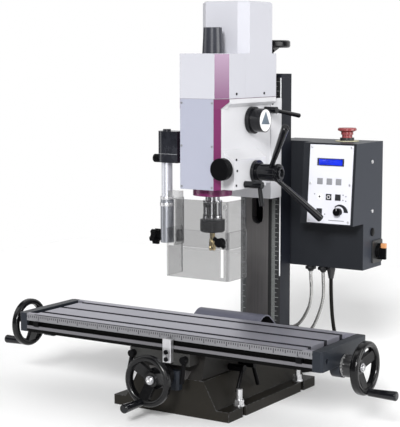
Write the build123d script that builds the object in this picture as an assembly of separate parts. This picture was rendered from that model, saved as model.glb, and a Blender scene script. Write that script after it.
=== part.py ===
from build123d import *
import math
import os

# A bench milling and drilling machine: cast base, cross table, dovetail column and a belt driven head.
# Millimetres. Origin: middle of the base foot on the bench. X to the right, Y to the back, Z up.

# Fits and gaps between pieces
RUN_FIT = 0.08
WAY_FIT = 0.15
FREE_GAP = 0.3

# Base foot, pedestal and the rear pad that carries the column
FOOT_WIDTH = 269.0
FOOT_DEPTH = 349.0
FOOT_THICKNESS = 20.0
PEDESTAL_FOOT_WIDTH = 213.0
PEDESTAL_TOP_WIDTH = 154.0
SHOULDER_Z = 73.5
PAD_WIDTH = 124.0
PAD_FRONT_Y = 152.0
PAD_BACK_Y = 236.0
PAD_TOP_Z = 110.0
ANCHOR_FRONT_Y = -116.0
ANCHOR_REAR_Y = 119.0
ANCHOR_INSET = 11.5
ANCHOR_SLOT_WIDTH = 13.0
ANCHOR_STUD_RADIUS = 6.0
ANCHOR_STUD_STICKOUT = 33.0
ANCHOR_NUT_RADIUS = 10.0
ANCHOR_NUT_HEIGHT = 10.0
ANCHOR_WASHER_RADIUS = 11.0
ANCHOR_WASHER_THICKNESS = 2.5

# Dovetail ways
WAY_SLOPE = math.tan(math.radians(30))
Y_WAY_WIDTH = 99.0
Y_WAY_HEIGHT = 16.5
X_WAY_WIDTH = 90.0
X_WAY_HEIGHT = 12.5
Z_WAY_WIDTH = 54.6
Z_WAY_DEPTH = 13.6

# Saddle
SADDLE_TOP_WIDTH = 166.0
SADDLE_BOTTOM_WIDTH = 146.0
SADDLE_FRONT_Y = -210.5
SADDLE_BODY_FRONT_Y = -174.5
SADDLE_PLATE_WIDTH = 138.0
SADDLE_PLATE_BOTTOM_Z = 108.0
SADDLE_BACK_Y = -24.0
SADDLE_TOP_Z = 131.7
SCREW_GROOVE_WIDTH = 36.0
SCREW_GROOVE_FLOOR_Z = 112.0
INDEX_BLOCK_X = 23.5
INDEX_BLOCK_WIDTH = 19.0
INDEX_BLOCK_DEPTH = 11.0
INDEX_BLOCK_BOTTOM_Z = 113.0
INDEX_BLOCK_TOP_Z = 159.0
INDEX_SCREW_RADIUS = 4.5
INDEX_SCREW_PITCH = 14.0
INDEX_SCREW_HEAD = 3.0

# Table
TABLE_LENGTH = 700.0
TABLE_WIDTH = 180.0
TABLE_Y = -118.9
TABLE_TOP_Z = 170.0
TABLE_THICKNESS = 38.0
TSLOT_PITCH = 63.0
TSLOT_NECK_WIDTH = 12.0
TSLOT_NECK_DEPTH = 9.0
TSLOT_FOOT_WIDTH = 20.0
TSLOT_FOOT_DEPTH = 8.0
TROUGH_LENGTH = 20.0
TROUGH_RIM = 9.0
STOP_GROOVE_HEIGHT = 10.0
STOP_GROOVE_DEPTH = 7.0
STOP_GROOVE_TOP_DROP = 15.0
STOP_LENGTH = 12.0
STOP_STICKOUT = 4.0
STOP_X = 304.0
BRACKET_THICKNESS = 20.0
BRACKET_BOSS_RADIUS = 23.0
BRACKET_SCREW_RADIUS = 5.0
BRACKET_SCREW_DEPTH = 8.0
BRACKET_SCREW_INSET = 19.0

# Lead screws and handwheels
SCREW_RADIUS = 8.0
X_SCREW_Z = 129.0
Y_SCREW_Z = 80.0
Y_SCREW_BACK_Y = 100.0
Y_SLOT_WIDTH = 34.0
Y_SLOT_FLOOR_Z = 62.0
Y_BRACKET_WIDTH = 58.0
Y_BRACKET_FRONT_Y = -190.0
Y_BRACKET_BOTTOM_Z = 52.0
NUT_LENGTH = 36.0
WHEEL_RADIUS = 50.0
RIM_DEPTH = 12.0
RIM_LENGTH = 16.0
RIM_ROUND = 5.0
COLLAR_RADIUS = 21.0
RIGHT_COLLAR_LENGTH = 20.0
LEFT_COLLAR_LENGTH = 28.0
Z_COLLAR_LENGTH = 23.0
Y_COLLAR_LENGTH = 37.7
HUB_RADIUS = 15.0
HUB_LENGTH = 13.0
SPOKE_WIDTH = 22.0
SPOKE_THICKNESS = 9.0
SPOKE_COUNT = 3
BOLT_HEAD_RADIUS = 8.5
BOLT_HEAD_LENGTH = 4.0
GRIP_LENGTH = 56.0
GRIP_ROOT_RADIUS = 7.0
GRIP_END_RADIUS = 9.0
GRIP_ROUND = 3.0
GRIP_PIN_RADIUS = 4.0
GRIP_PIN_LENGTH = 45.0
Y_GRIP_ANGLE = -106.0

# Column
COLUMN_WIDTH = 98.0
COLUMN_FRONT_Y = 174.6
COLUMN_BACK_Y = 218.0
COLUMN_TOP_Z = 648.0
CAVITY_WIDTH = 60.0
CAVITY_FRONT_Y = 183.0
CAVITY_BACK_Y = 210.0
CAVITY_FLOOR_Z = 125.0
NUT_SLOT_WIDTH = 27.6
NUT_SLOT_BOTTOM_Z = 338.0
NUT_SLOT_MARGIN = 23.0
Z_SCREW_Y = 197.0
Z_SCREW_TAIL = 7.5
CAP_THICKNESS = 8.0
BEARING_RADIUS = 18.0
BEARING_HEIGHT = 18.0

# Head casting
SPINDLE_Y = -19.0
HEAD_WIDTH = 96.0
HEAD_FRONT_Y = -64.0
HEAD_BOTTOM_Z = 431.0
HEAD_SEAM_Z = 610.0
RIM_WIDTH = 111.2
RIM_FRONT_Y = -45.0
RIM_BACK_Y = 140.0
RIM_BAND = 10.0
RIM_CHAMFER = 7.6
CARRIAGE_WIDTH = 100.0
CARRIAGE_FRONT_Y = 130.0
CARRIAGE_BOTTOM_Z = 397.0
CARRIAGE_TOP_DROP = 4.0
PANEL_WIDTH = 78.0
PANEL_FRONT_Y = -78.0
PANEL_WALL = 3.0
FLARE_THICKNESS = 3.0
FLARE_HEIGHT = 20.0
FLARE_BAND = 6.0
BULGE_X = 72.0
BULGE_FRONT_Y = -54.0
BULGE_BACK_Y = 72.0
BULGE_EDGE_Z = 490.0
BULGE_TOP_Z = 508.0

# Quill, spindle and tool
QUILL_RADIUS = 29.0
QUILL_TOP_Z = 572.0
QUILL_BOTTOM_Z = 414.0
QUILL_BORE = 20.0
RING_RADIUS = 39.5
RING_BOTTOM_Z = 415.5
SPINDLE_RADIUS = 14.5
SPINDLE_NOSE_Z = 405.0
SPINDLE_TAIL_RADIUS = 11.0
SPINDLE_TAIL_Z = 566.0
SPINDLE_TOP_DROP = 8.5
BEARING_RING_HEIGHT = 16.0
CHUCK_RADIUS = 18.7
CHUCK_BOTTOM_Z = 366.0
COLLET_NUT_RADIUS = 25.0
COLLET_NUT_BOTTOM_Z = 341.0
COLLET_NUT_CHAMFER = 2.5
MILL_SHANK_RADIUS = 5.5
MILL_RADIUS = 7.0
MILL_FLUTE_Z = 326.0
MILL_TIP_Z = 303.0

# Belt drive and covers
MOTOR_Y = 85.0
MOTOR_RADIUS = 41.0
MOTOR_RISE = 46.0
MOTOR_CLEARANCE = 12.0
MOTOR_PLATE_THICKNESS = 6.0
MOTOR_POST_RADIUS = 5.0
MOTOR_POST_PITCH = 74.0
MOTOR_SHAFT_RADIUS = 7.0
MOTOR_SHAFT_SHARE = 0.465
MOTOR_PULLEY_RADIUS = 18.0
SPINDLE_PULLEY_RADIUS = 30.0
SLEEVE_RADIUS = 20.0
PULLEY_RISE = 8.0
PULLEY_HEIGHT = 22.0
BELT_WIDTH = 16.0
BELT_THICKNESS = 4.0
COVER_WALL = 3.0
BELT_COVER_HEIGHT = 88.5
BELT_COVER_NOSE_WIDTH = 80.0
BELT_COVER_NOSE_Y = -77.5
MOTOR_COVER_FRONT_Y = 14.0
MOTOR_COVER_TOP_Z = 803.0
MOTOR_COVER_CHAMFER = 18.0
MOTOR_COVER_TOP_ROUND = 4.0
WINDOW_THICKNESS = 2.0
WINDOW_MARGIN = 0.8
DRAWBAR_CAP_RADIUS = 21.0
DRAWBAR_CAP_TOP_RADIUS = 18.5
DRAWBAR_CAP_HEIGHT = 51.5
DRAWBAR_CAP_WALL = 3.5

# Feed levers and head controls
FEED_Y = 30.0
FEED_Z = 462.0
PINION_RADIUS = 19.4
PINION_LENGTH = 28.0
FEED_SHAFT_RADIUS = 8.0
FEED_FLANGE_RADIUS = 24.0
FEED_FLANGE_THICKNESS = 7.0
FEED_HUB_RADIUS = 17.0
FEED_HUB_END_X = 128.0
FEED_ARM_ROOT_X = 103.0
FEED_ARM_REACH = 123.0
FEED_ARM_SWEEP = 79.0
FEED_ARM_ANGLE = 128.0
FEED_ARM_ROD_RADIUS = 5.0
FEED_GRIP_ROOT_RADIUS = 5.5
FEED_GRIP_END_RADIUS = 8.0
FEED_GRIP_ROUND = 4.0
FEED_GRIP_LENGTH = 98.0
FINE_KNOB_X = 62.0
FINE_KNOB_Z = 474.5
FINE_KNOB_RADIUS = 22.0
FINE_KNOB_LENGTH = 15.0
FINE_KNOB_STANDOFF = 25.0
FINE_SHAFT_RADIUS = 6.0
FINE_SHAFT_DEPTH = 26.0
SELECTOR_Y = 52.0
SELECTOR_Z = 564.5
SELECTOR_FLANGE_RADIUS = 27.5
SELECTOR_FLANGE_THICKNESS = 9.0
SELECTOR_KNOB_RADIUS = 24.0
SELECTOR_FACE_X = 81.0
SELECTOR_SHAFT_RADIUS = 7.0
SELECTOR_SHAFT_DEPTH = 26.0
Z_CLAMP_Y = 108.0
Z_CLAMP_Z = 583.0
Z_CLAMP_END_X = 76.0
Z_CLAMP_ARM = 92.0
Z_CLAMP_DROP_ANGLE = 9.0
QUILL_CLAMP_Y = -12.0
QUILL_CLAMP_Z = 440.0
QUILL_CLAMP_END_X = 112.0
QUILL_CLAMP_ARM = 42.0
LEVER_HUB_RADIUS = 7.0
LEVER_SHAFT_RADIUS = 5.0
LEVER_SHAFT_DEPTH = 24.0
LEVER_ARM_RADIUS = 4.0

# Saddle clamp levers
X_CLAMP_X = 60.0
X_CLAMP_Z = 121.0
X_CLAMP_HUB_LENGTH = 11.0
X_CLAMP_ARM = 46.0
Y_CLAMP_Z = 83.0
Y_CLAMP_FRONT_Y = -75.0
Y_CLAMP_REAR_Y = -34.0
Y_CLAMP_ARM_X = 105.0
Y_CLAMP_ARM = 48.0
CLAMP_TILT = 12.0

# Tool guard
POST_X = -84.0
POST_Y = -58.0
POST_RADIUS = 11.0
POST_TOP_Z = 536.0
POST_BOTTOM_Z = 318.0
SLEEVE_OUTER_RADIUS = 13.5
GUARD_SLEEVE_TOP_Z = 405.0
GUARD_BRACKET_DEPTH = 34.5
GUARD_BRACKET_BOTTOM_Z = 481.0
GUARD_BRACKET_TOP_Z = 544.0
BRACKET_PLUG_RADIUS = 8.0
BRACKET_PLUG_HEIGHT = 3.5
SHIELD_THICKNESS = 3.0
SHIELD_CORNER = 8.0
UPPER_SHIELD_LEFT_X = -50.0
UPPER_SHIELD_RIGHT_X = 80.0
UPPER_SHIELD_FRONT_Y = -91.5
UPPER_SHIELD_LEFT_BACK_Y = -52.0
UPPER_SHIELD_RIGHT_BACK_Y = -24.0
UPPER_SHIELD_BOTTOM_Z = 318.0
UPPER_SHIELD_TOP_Z = 412.0
LOWER_SHIELD_LEFT_X = -64.0
LOWER_SHIELD_GAP = 0.6
LOWER_SHIELD_LEFT_BACK_Y = -36.0
LOWER_SHIELD_BOTTOM_Z = 256.0
LOWER_SHIELD_TOP_Z = 352.0
SHIELD_SLOT_X = 69.0
SHIELD_SLOT_WIDTH = 8.0
SHIELD_SLOT_BOTTOM_Z = 262.0
SHIELD_SLOT_TOP_Z = 337.0
SHIELD_STUD_Z = 333.0
SHIELD_STUD_RADIUS = 3.0
SHIELD_STUD_LENGTH = 12.5
HANGER_BOTTOM_Z = 322.0
HANGER_TOP_Z = 424.0
HANGER_ARM_BOTTOM_Z = 407.0
HANGER_THICKNESS = 7.0
HANGER_DEPTH = 16.0
STAR_KNOB_Z = 328.0
STAR_KNOB_RADIUS = 16.0
STAR_KNOB_THICKNESS = 12.0
KNOB_STEM_RADIUS = 6.0
KNOB_STEM_LENGTH = 8.0
WING_KNOB_RADIUS = 9.0
WING_KNOB_LENGTH = 12.0
WING_SPAN = 30.0
BRACKET_KNOB_RADIUS = 8.5
BRACKET_KNOB_LENGTH = 13.0
BRACKET_KNOB_Z = 488.0

# Control box
BOX_LEFT_X = 8.0
BOX_RIGHT_X = 220.0
BOX_FRONT_Y = 222.0
BOX_BACK_Y = 312.0
BOX_BOTTOM_Z = 247.0
BOX_TOP_Z = 514.0
BOX_WALL = 2.5
CONSOLE_LEFT_X = 98.0
CONSOLE_BOTTOM_Z = 345.0
CONSOLE_BOTTOM_Y = 172.0
CONSOLE_TOP_Y = 186.0
PLATE_WIDTH = 100.0
PLATE_MARGIN_RIGHT = 6.0
PLATE_MARGIN_BOTTOM = 3.0
PLATE_HEIGHT = 163.0
PLATE_THICKNESS = 1.5
SPEED_KNOB_X = 187.0
SPEED_KNOB_HEIGHT = 25.5
SPEED_KNOB_RADIUS = 8.0
SPEED_KNOB_LENGTH = 11.5
SPEED_SHAFT_RADIUS = 3.0
ESTOP_X = 160.0
ESTOP_Y = 262.0
ESTOP_COLLAR_RADIUS = 15.0
ESTOP_COLLAR_HEIGHT = 6.0
ESTOP_PLATE_RADIUS = 25.0
ESTOP_PLATE_THICKNESS = 1.5
ESTOP_HEAD_RADIUS = 20.0
ESTOP_STEM_RADIUS = 13.0
ESTOP_TRAVEL_GAP = 6.5
ESTOP_STEM_HEIGHT = 9.0
ESTOP_HEAD_HEIGHT = 5.5
ESTOP_PIN_RADIUS = 11.0
SWITCH_Y = 287.0
SWITCH_Z = 281.0
SWITCH_PLATE_SIZE = 48.0
SWITCH_PLATE_THICKNESS = 3.0
SWITCH_KNOB_RADIUS = 14.0
SWITCH_KNOB_LENGTH = 8.0
SWITCH_GRIP_THICKNESS = 7.0
SWITCH_GRIP_LENGTH = 11.0
SWITCH_SHAFT_RADIUS = 4.0
BOX_BRACKET_MARGIN = 2.0
BOX_BRACKET_BOTTOM_Z = 290.0
BOX_BRACKET_TOP_Z = 480.0
CONTROLLER_WIDTH = 120.0
CONTROLLER_DEPTH = 50.0
CONTROLLER_HEIGHT = 150.0

# Cables: glands, conduits, mains lead and its coil
GLAND_RADIUS = 9.0
GLAND_LENGTH = 14.0
STRAIN_RELIEF_LENGTH = 26.0
GLAND_Y = 240.0
CONDUIT_DIAMETER = 7.6
CABLE_DIAMETER = 8.0
TERMINAL_BOX_LEFT_X = -75.0
TERMINAL_BOX_RIGHT_X = -5.0
TERMINAL_BOX_DEPTH = 26.0
TERMINAL_BOX_BOTTOM_Z = 62.0
TERMINAL_BOX_TOP_Z = 114.0
TERMINAL_GLAND_Y = 249.0
PLUG_WIDTH = 36.0
PLUG_HEIGHT = 25.0
PLUG_LENGTH = 38.0
PLUG_NECK_LENGTH = 26.0
PLUG_PIN_RADIUS = 2.4
PLUG_PIN_LENGTH = 19.0
PLUG_PIN_PITCH = 19.0
COIL_X = 20.0
COIL_Y = 305.0
COIL_INNER_RADIUS = 34.0
COIL_PITCH = 9.8
COIL_LAYER_STEP = 8.6
COIL_TURNS_IN = 2.5
COIL_TURNS_OUT = 2.0
COIL_TAIL = 72.0

GLANDS_UNDER_BOX = [(88.0, "conduit"), (118.0, "conduit"), (137.0, "cable")]
TERMINAL_GLAND_HEIGHTS = [99.8, 78.0]

CONDUIT_FRONT_ROUTE = [
    (88, 240, 233), (88, 240, 220), (89.8, 240.2, 199), (89.4, 241, 177), (84.2, 243, 154.5), (73.5, 245, 135),
    (62.5, 246.8, 118.5), (51, 247.9, 108.3), (37.5, 248.7, 102), (23, 249, 99.8), (9, 249, 99.8)]
CONDUIT_REAR_ROUTE = [
    (118, 240, 233), (118, 240, 220), (119.5, 240.2, 198), (118.6, 240.8, 176), (112.5, 242, 153),
    (103.5, 243.4, 131), (93.5, 245, 111), (80.5, 246.6, 95.5), (65, 247.9, 85), (48, 248.7, 79.5),
    (30, 249, 78), (9, 249, 78)]
MAINS_ROUTE = [
    (137, 240, 221), (137, 240, 204), (138, 240.3, 176), (140, 241.5, 138), (143.5, 247, 100),
    (147, 261, 62), (144, 284, 33), (132, 311, 14), (112, 336, 6),
    (86, 353, 4.1), (54, 363.5, 4.1), (COIL_X, 363.5, 4.1)]

# The rubber way cover behind the saddle
WAY_COVER_WIDTH = 160.0
WAY_COVER_THICKNESS = 2.5
WAY_COVER_APEX_Y = 62.0
WAY_COVER_APEX_Z = 172.0
WAY_COVER_BEND = 32.0
WAY_COVER_FRONT_Z = 118.0
WAY_COVER_REAR_Z = 100.0

# Levels and places that follow from the sizes above
Y_WAY_TOP_Z = SHOULDER_Z + Y_WAY_HEIGHT
SADDLE_BOTTOM_Z = SHOULDER_Z + WAY_FIT
TABLE_BOTTOM_Z = TABLE_TOP_Z - TABLE_THICKNESS
X_WAY_TOP_Z = SADDLE_TOP_Z + X_WAY_HEIGHT
TABLE_FRONT_Y = TABLE_Y - TABLE_WIDTH / 2
TABLE_BACK_Y = TABLE_Y + TABLE_WIDTH / 2
TABLE_CASTING_END_X = TABLE_LENGTH / 2 - BRACKET_THICKNESS
TSLOT_BOTTOM_Z = TABLE_TOP_Z - TSLOT_NECK_DEPTH - TSLOT_FOOT_DEPTH
FOOT_FRONT_Y = -FOOT_DEPTH / 2
Z_WAY_FRONT_Y = COLUMN_FRONT_Y - Z_WAY_DEPTH
CAP_TOP_Z = COLUMN_TOP_Z + CAP_THICKNESS
BEARING_TOP_Z = CAP_TOP_Z + BEARING_HEIGHT
GRIP_RING_RADIUS = WHEEL_RADIUS - RIM_DEPTH / 2
X_WHEEL_START = TABLE_LENGTH / 2 + FREE_GAP
Y_WHEEL_START = Y_BRACKET_FRONT_Y - FREE_GAP
Z_WHEEL_START = BEARING_TOP_Z + FREE_GAP
SLEEVE_BOTTOM_Z = QUILL_TOP_Z + 6.0
GUARD_BRACKET_LEFT_X = POST_X - GUARD_BRACKET_DEPTH / 2
LOWER_SHIELD_FRONT_Y = UPPER_SHIELD_FRONT_Y - SHIELD_THICKNESS - LOWER_SHIELD_GAP
LOWER_SHIELD_RIGHT_X = UPPER_SHIELD_RIGHT_X + SHIELD_THICKNESS + LOWER_SHIELD_GAP
COVER_START_Z = HEAD_SEAM_Z
NUT_SLOT_TOP_Z = COLUMN_TOP_Z - NUT_SLOT_MARGIN
CARRIAGE_TOP_Z = HEAD_SEAM_Z - CARRIAGE_TOP_DROP
FLARE_LOW_Z = HEAD_SEAM_Z - FLARE_HEIGHT
FLARE_HIGH_Z = HEAD_SEAM_Z - FLARE_BAND
BELT_COVER_TOP_Z = HEAD_SEAM_Z + BELT_COVER_HEIGHT
SPINDLE_TOP_Z = BELT_COVER_TOP_Z - SPINDLE_TOP_DROP
PULLEY_BOTTOM_Z = HEAD_SEAM_Z + PULLEY_RISE
MOTOR_BOTTOM_Z = HEAD_SEAM_Z + MOTOR_RISE
MOTOR_TOP_Z = MOTOR_COVER_TOP_Z - COVER_WALL - MOTOR_CLEARANCE
MOTOR_SHAFT_DEPTH = MOTOR_SHAFT_SHARE * (MOTOR_TOP_Z - MOTOR_BOTTOM_Z)
CABLE_RADIUS = CABLE_DIAMETER / 2
CONDUIT_RADIUS = CONDUIT_DIAMETER / 2


def block(x0, x1, y0, y1, z0, z1):
    """A box between two corners."""
    return Pos((x0 + x1) / 2, (y0 + y1) / 2, (z0 + z1) / 2) * Box(x1 - x0, y1 - y0, z1 - z0)


def rod_x(x0, x1, y, z, radius):
    """A cylinder along X."""
    return Pos((x0 + x1) / 2, y, z) * Rot(0, 90, 0) * Cylinder(radius, x1 - x0)


def rod_y(x, y0, y1, z, radius):
    """A cylinder along Y."""
    return Pos(x, (y0 + y1) / 2, z) * Rot(90, 0, 0) * Cylinder(radius, y1 - y0)


def rod_z(x, y, z0, z1, radius):
    """A cylinder along Z."""
    return Pos(x, y, (z0 + z1) / 2) * Cylinder(radius, z1 - z0)


def prism_x(points, x0, x1):
    """A polygon of (y, z) points drawn out along X."""
    return extrude(Plane.YZ.offset(x0) * Polygon(*points, align=None), amount=x1 - x0, dir=(1, 0, 0))


def prism_y(points, y0, y1):
    """A polygon of (x, z) points drawn out along Y."""
    return extrude(Plane.XZ.offset(-y0) * Polygon(*points, align=None), amount=y1 - y0, dir=(0, 1, 0))


def prism_z(points, z0, z1):
    """A polygon of (x, y) points drawn out along Z."""
    return extrude(Plane.XY.offset(z0) * Polygon(*points, align=None), amount=z1 - z0, dir=(0, 0, 1))


def turned(points):
    """A solid turned about Z from (radius, z) points."""
    return revolve(Plane.XZ * Polygon(*points, align=None), Axis.Z)


def rod_between(start, end, start_radius, end_radius):
    """A straight or tapered round bar between two points."""
    path = Vector(*end) - Vector(*start)
    bar = turned([(0, 0), (start_radius, 0), (end_radius, path.length), (0, path.length)])
    return Plane(origin=start, z_dir=path.normalized()) * bar


def mirrored(points):
    """Outline points with their mirror images across the first axis, closed."""
    return points + [(-a, b) for a, b in reversed(points)]


def both_sides(solid):
    """A solid and its mirror image across the middle plane, kept apart."""
    return [solid, mirror(solid, Plane.YZ)]


def group(*solids):
    """Separate solids that share one node."""
    return Compound(children=list(solids))


def save(shape, node):
    """Writes one node."""
    shape.label = node
    export_step(shape, f"parts/{node}.step")


# Dovetail outlines


def y_way_outline(fit):
    """The base's dovetail, wide at the top, in X and Z, grown by a fit."""
    top = Y_WAY_WIDTH / 2 + fit * (1 + WAY_SLOPE)
    bottom_z = SHOULDER_Z - (1.0 if fit else 0.0)
    top_z = Y_WAY_TOP_Z + fit
    foot = top - (top_z - bottom_z) * WAY_SLOPE
    return mirrored([(foot, bottom_z), (top, top_z)])


def x_way_outline(fit):
    """The saddle's dovetail, wide at the top, in Y and Z, grown by a fit."""
    top = X_WAY_WIDTH / 2 + fit * (1 + WAY_SLOPE)
    bottom_z = SADDLE_TOP_Z - (1.0 if fit else 0.0)
    top_z = X_WAY_TOP_Z + fit
    foot = top - (top_z - bottom_z) * WAY_SLOPE
    points = [(foot, bottom_z), (top, top_z), (-top, top_z), (-foot, bottom_z)]
    return [(TABLE_Y + y, z) for y, z in points]


def z_way_outline(fit):
    """The column's dovetail, wide at the front, in X and Y, grown by a fit."""
    front = Z_WAY_WIDTH / 2 + fit * (1 + WAY_SLOPE)
    front_y = Z_WAY_FRONT_Y - fit
    back_y = COLUMN_FRONT_Y + (1.0 if fit else 0.0)
    root = front - (back_y - front_y) * WAY_SLOPE
    return mirrored([(front, front_y), (root, back_y)])


# Base group


def base_casting():
    """Foot with open anchor slots, sloped pedestal, Y dovetail and the column pad."""
    foot = block(-FOOT_WIDTH / 2, FOOT_WIDTH / 2, FOOT_FRONT_Y, FOOT_DEPTH / 2, 0, FOOT_THICKNESS)
    sides = mirrored([(PEDESTAL_FOOT_WIDTH / 2, FOOT_THICKNESS), (PEDESTAL_TOP_WIDTH / 2, SHOULDER_Z)])
    pedestal = prism_y(sides, FOOT_FRONT_Y, FOOT_DEPTH / 2)
    rail = prism_y(y_way_outline(0), FOOT_FRONT_Y, PAD_FRONT_Y)
    pad = block(-PAD_WIDTH / 2, PAD_WIDTH / 2, PAD_FRONT_Y, PAD_BACK_Y, 0, PAD_TOP_Z)
    body = foot + pedestal + rail + pad
    half_slot = Y_SLOT_WIDTH / 2
    body -= block(-half_slot, half_slot, FOOT_FRONT_Y, Y_SCREW_BACK_Y + FREE_GAP, Y_SLOT_FLOOR_Z, Y_WAY_TOP_Z)
    for x, y in anchor_places():
        reach = math.copysign(FOOT_WIDTH, x)
        slot = block(min(x, reach), max(x, reach), y - ANCHOR_SLOT_WIDTH / 2, y + ANCHOR_SLOT_WIDTH / 2,
                     0, FOOT_THICKNESS)
        body -= slot + rod_z(x, y, 0, FOOT_THICKNESS, ANCHOR_SLOT_WIDTH / 2)
    return body


def anchor_places():
    """Stud axes in the foot's open slots."""
    x = FOOT_WIDTH / 2 - ANCHOR_INSET
    return [(side * x, y) for side in (-1, 1) for y in (ANCHOR_FRONT_Y, ANCHOR_REAR_Y)]


def base_fittings():
    """The Y screw's front bearing block, and studs, washers and nuts in the foot slots."""
    half = Y_BRACKET_WIDTH / 2
    top = Y_WAY_TOP_Z - WAY_FIT
    bearing = block(-half, half, Y_BRACKET_FRONT_Y, FOOT_FRONT_Y, Y_BRACKET_BOTTOM_Z, top)
    bearing -= rod_y(0, Y_BRACKET_FRONT_Y, FOOT_FRONT_Y, Y_SCREW_Z, SCREW_RADIUS + RUN_FIT)
    front_edges = bearing.edges().filter_by(Axis.Z).group_by(Axis.Y)[0]
    bearing = chamfer(front_edges, 4.0)
    bolts = []
    for x, y in anchor_places():
        washer_top = FOOT_THICKNESS + ANCHOR_WASHER_THICKNESS
        nut_top = washer_top + ANCHOR_NUT_HEIGHT
        bolt = rod_z(x, y, 1.0, FOOT_THICKNESS + ANCHOR_STUD_STICKOUT, ANCHOR_STUD_RADIUS)
        bolt += rod_z(x, y, FOOT_THICKNESS, washer_top, ANCHOR_WASHER_RADIUS)
        bolt += Pos(x, y) * extrude(Plane.XY.offset(washer_top) * RegularPolygon(ANCHOR_NUT_RADIUS, 6),
                                    amount=nut_top - washer_top)
        bolts.append(bolt)
    return group(bearing, *bolts)


def column():
    """Box column with a front dovetail, a screw cavity and the slot for the head's nut."""
    half = COLUMN_WIDTH / 2
    body = block(-half, half, COLUMN_FRONT_Y, COLUMN_BACK_Y, PAD_TOP_Z, COLUMN_TOP_Z)
    body += prism_z(z_way_outline(0), PAD_TOP_Z, COLUMN_TOP_Z)
    body -= block(-CAVITY_WIDTH / 2, CAVITY_WIDTH / 2, CAVITY_FRONT_Y, CAVITY_BACK_Y, CAVITY_FLOOR_Z, COLUMN_TOP_Z)
    slot_radius = NUT_SLOT_WIDTH / 2
    slot_end_z = NUT_SLOT_BOTTOM_Z + slot_radius
    body -= block(-slot_radius, slot_radius, Z_WAY_FRONT_Y, CAVITY_FRONT_Y, slot_end_z, NUT_SLOT_TOP_Z)
    body -= rod_y(0, Z_WAY_FRONT_Y, CAVITY_FRONT_Y, slot_end_z, slot_radius)
    body -= rod_z(0, Z_SCREW_Y, CAVITY_FLOOR_Z - Z_SCREW_TAIL, CAVITY_FLOOR_Z, SCREW_RADIUS + RUN_FIT)
    return body


def column_fittings():
    """Column cap with the Z screw bearing, and the plate that carries the control box."""
    half = COLUMN_WIDTH / 2
    cap = block(-half, half, COLUMN_FRONT_Y, COLUMN_BACK_Y, COLUMN_TOP_Z, CAP_TOP_Z)
    cap += rod_z(0, Z_SCREW_Y, CAP_TOP_Z, BEARING_TOP_Z, BEARING_RADIUS)
    cap -= rod_z(0, Z_SCREW_Y, COLUMN_TOP_Z, BEARING_TOP_Z, SCREW_RADIUS + RUN_FIT)
    plate = block(BOX_LEFT_X + BOX_BRACKET_MARGIN, half - BOX_BRACKET_MARGIN, COLUMN_BACK_Y, BOX_FRONT_Y,
                  BOX_BRACKET_BOTTOM_Z, BOX_BRACKET_TOP_Z)
    return group(cap, plate)


def way_cover_tent(inset):
    """Solid under the way cover's outer face, an inset inside it, with a rounded ridge."""
    front = Vector(SADDLE_BACK_Y + FREE_GAP, WAY_COVER_FRONT_Z)
    apex = Vector(WAY_COVER_APEX_Y, WAY_COVER_APEX_Z)
    rear = Vector(PAD_FRONT_Y, WAY_COVER_REAR_Z)
    up = (apex - front).normalized()
    down = (rear - apex).normalized()
    left = Vector(up.Y, -up.X) * inset
    right = Vector(down.Y, -down.X) * inset
    turn = up.X * down.Y - up.Y * down.X
    shift = right - left
    ridge = apex + left + up * ((shift.X * down.Y - shift.Y * down.X) / turn)
    reach = WAY_COVER_BEND
    points = [front + left - up * reach, ridge, rear + right + down * reach]
    half = WAY_COVER_WIDTH / 2
    tent = prism_x([(p.X, p.Y) for p in points], -half, half)
    return fillet(tent.edges().filter_by(Axis.X).sort_by(Axis.Z)[-1], WAY_COVER_BEND - inset)


def way_cover():
    """Arched rubber sheet between the saddle's back and the column pad."""
    half = WAY_COVER_WIDTH / 2
    sheet = way_cover_tent(0) - way_cover_tent(WAY_COVER_THICKNESS)
    front = SADDLE_BACK_Y + FREE_GAP
    low = WAY_COVER_REAR_Z - 2 * WAY_COVER_THICKNESS
    return sheet & block(-half, half, front, PAD_FRONT_Y, low, WAY_COVER_APEX_Z)


# Saddle group


def saddle():
    """Cross slide with a front plate, the Y dovetail channel below and the X dovetail on top."""
    sides = mirrored([(SADDLE_BOTTOM_WIDTH / 2, SADDLE_BOTTOM_Z), (SADDLE_TOP_WIDTH / 2, SADDLE_TOP_Z)])
    body = prism_y(sides, SADDLE_BODY_FRONT_Y, SADDLE_BACK_Y)
    half_plate = SADDLE_PLATE_WIDTH / 2
    body += block(-half_plate, half_plate, SADDLE_FRONT_Y, SADDLE_BODY_FRONT_Y, SADDLE_PLATE_BOTTOM_Z, SADDLE_TOP_Z)
    half_length = SADDLE_TOP_WIDTH / 2
    body += prism_x(x_way_outline(0), -half_length, half_length)
    body -= prism_y(y_way_outline(WAY_FIT), SADDLE_BODY_FRONT_Y, SADDLE_BACK_Y)
    half = SCREW_GROOVE_WIDTH / 2
    body -= block(-half_length, half_length, TABLE_Y - half, TABLE_Y + half, SCREW_GROOVE_FLOOR_Z, X_WAY_TOP_Z)
    for x in (-X_CLAMP_X, X_CLAMP_X):
        body -= rod_y(x, SADDLE_FRONT_Y, SADDLE_FRONT_Y + LEVER_SHAFT_DEPTH, X_CLAMP_Z, LEVER_SHAFT_RADIUS + RUN_FIT)
    for y in (Y_CLAMP_FRONT_Y, Y_CLAMP_REAR_Y):
        start = SADDLE_BOTTOM_WIDTH / 2 - LEVER_SHAFT_DEPTH + 8.0
        body -= rod_x(start, SADDLE_TOP_WIDTH / 2, y, Y_CLAMP_Z, LEVER_SHAFT_RADIUS + RUN_FIT)
    return body


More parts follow.
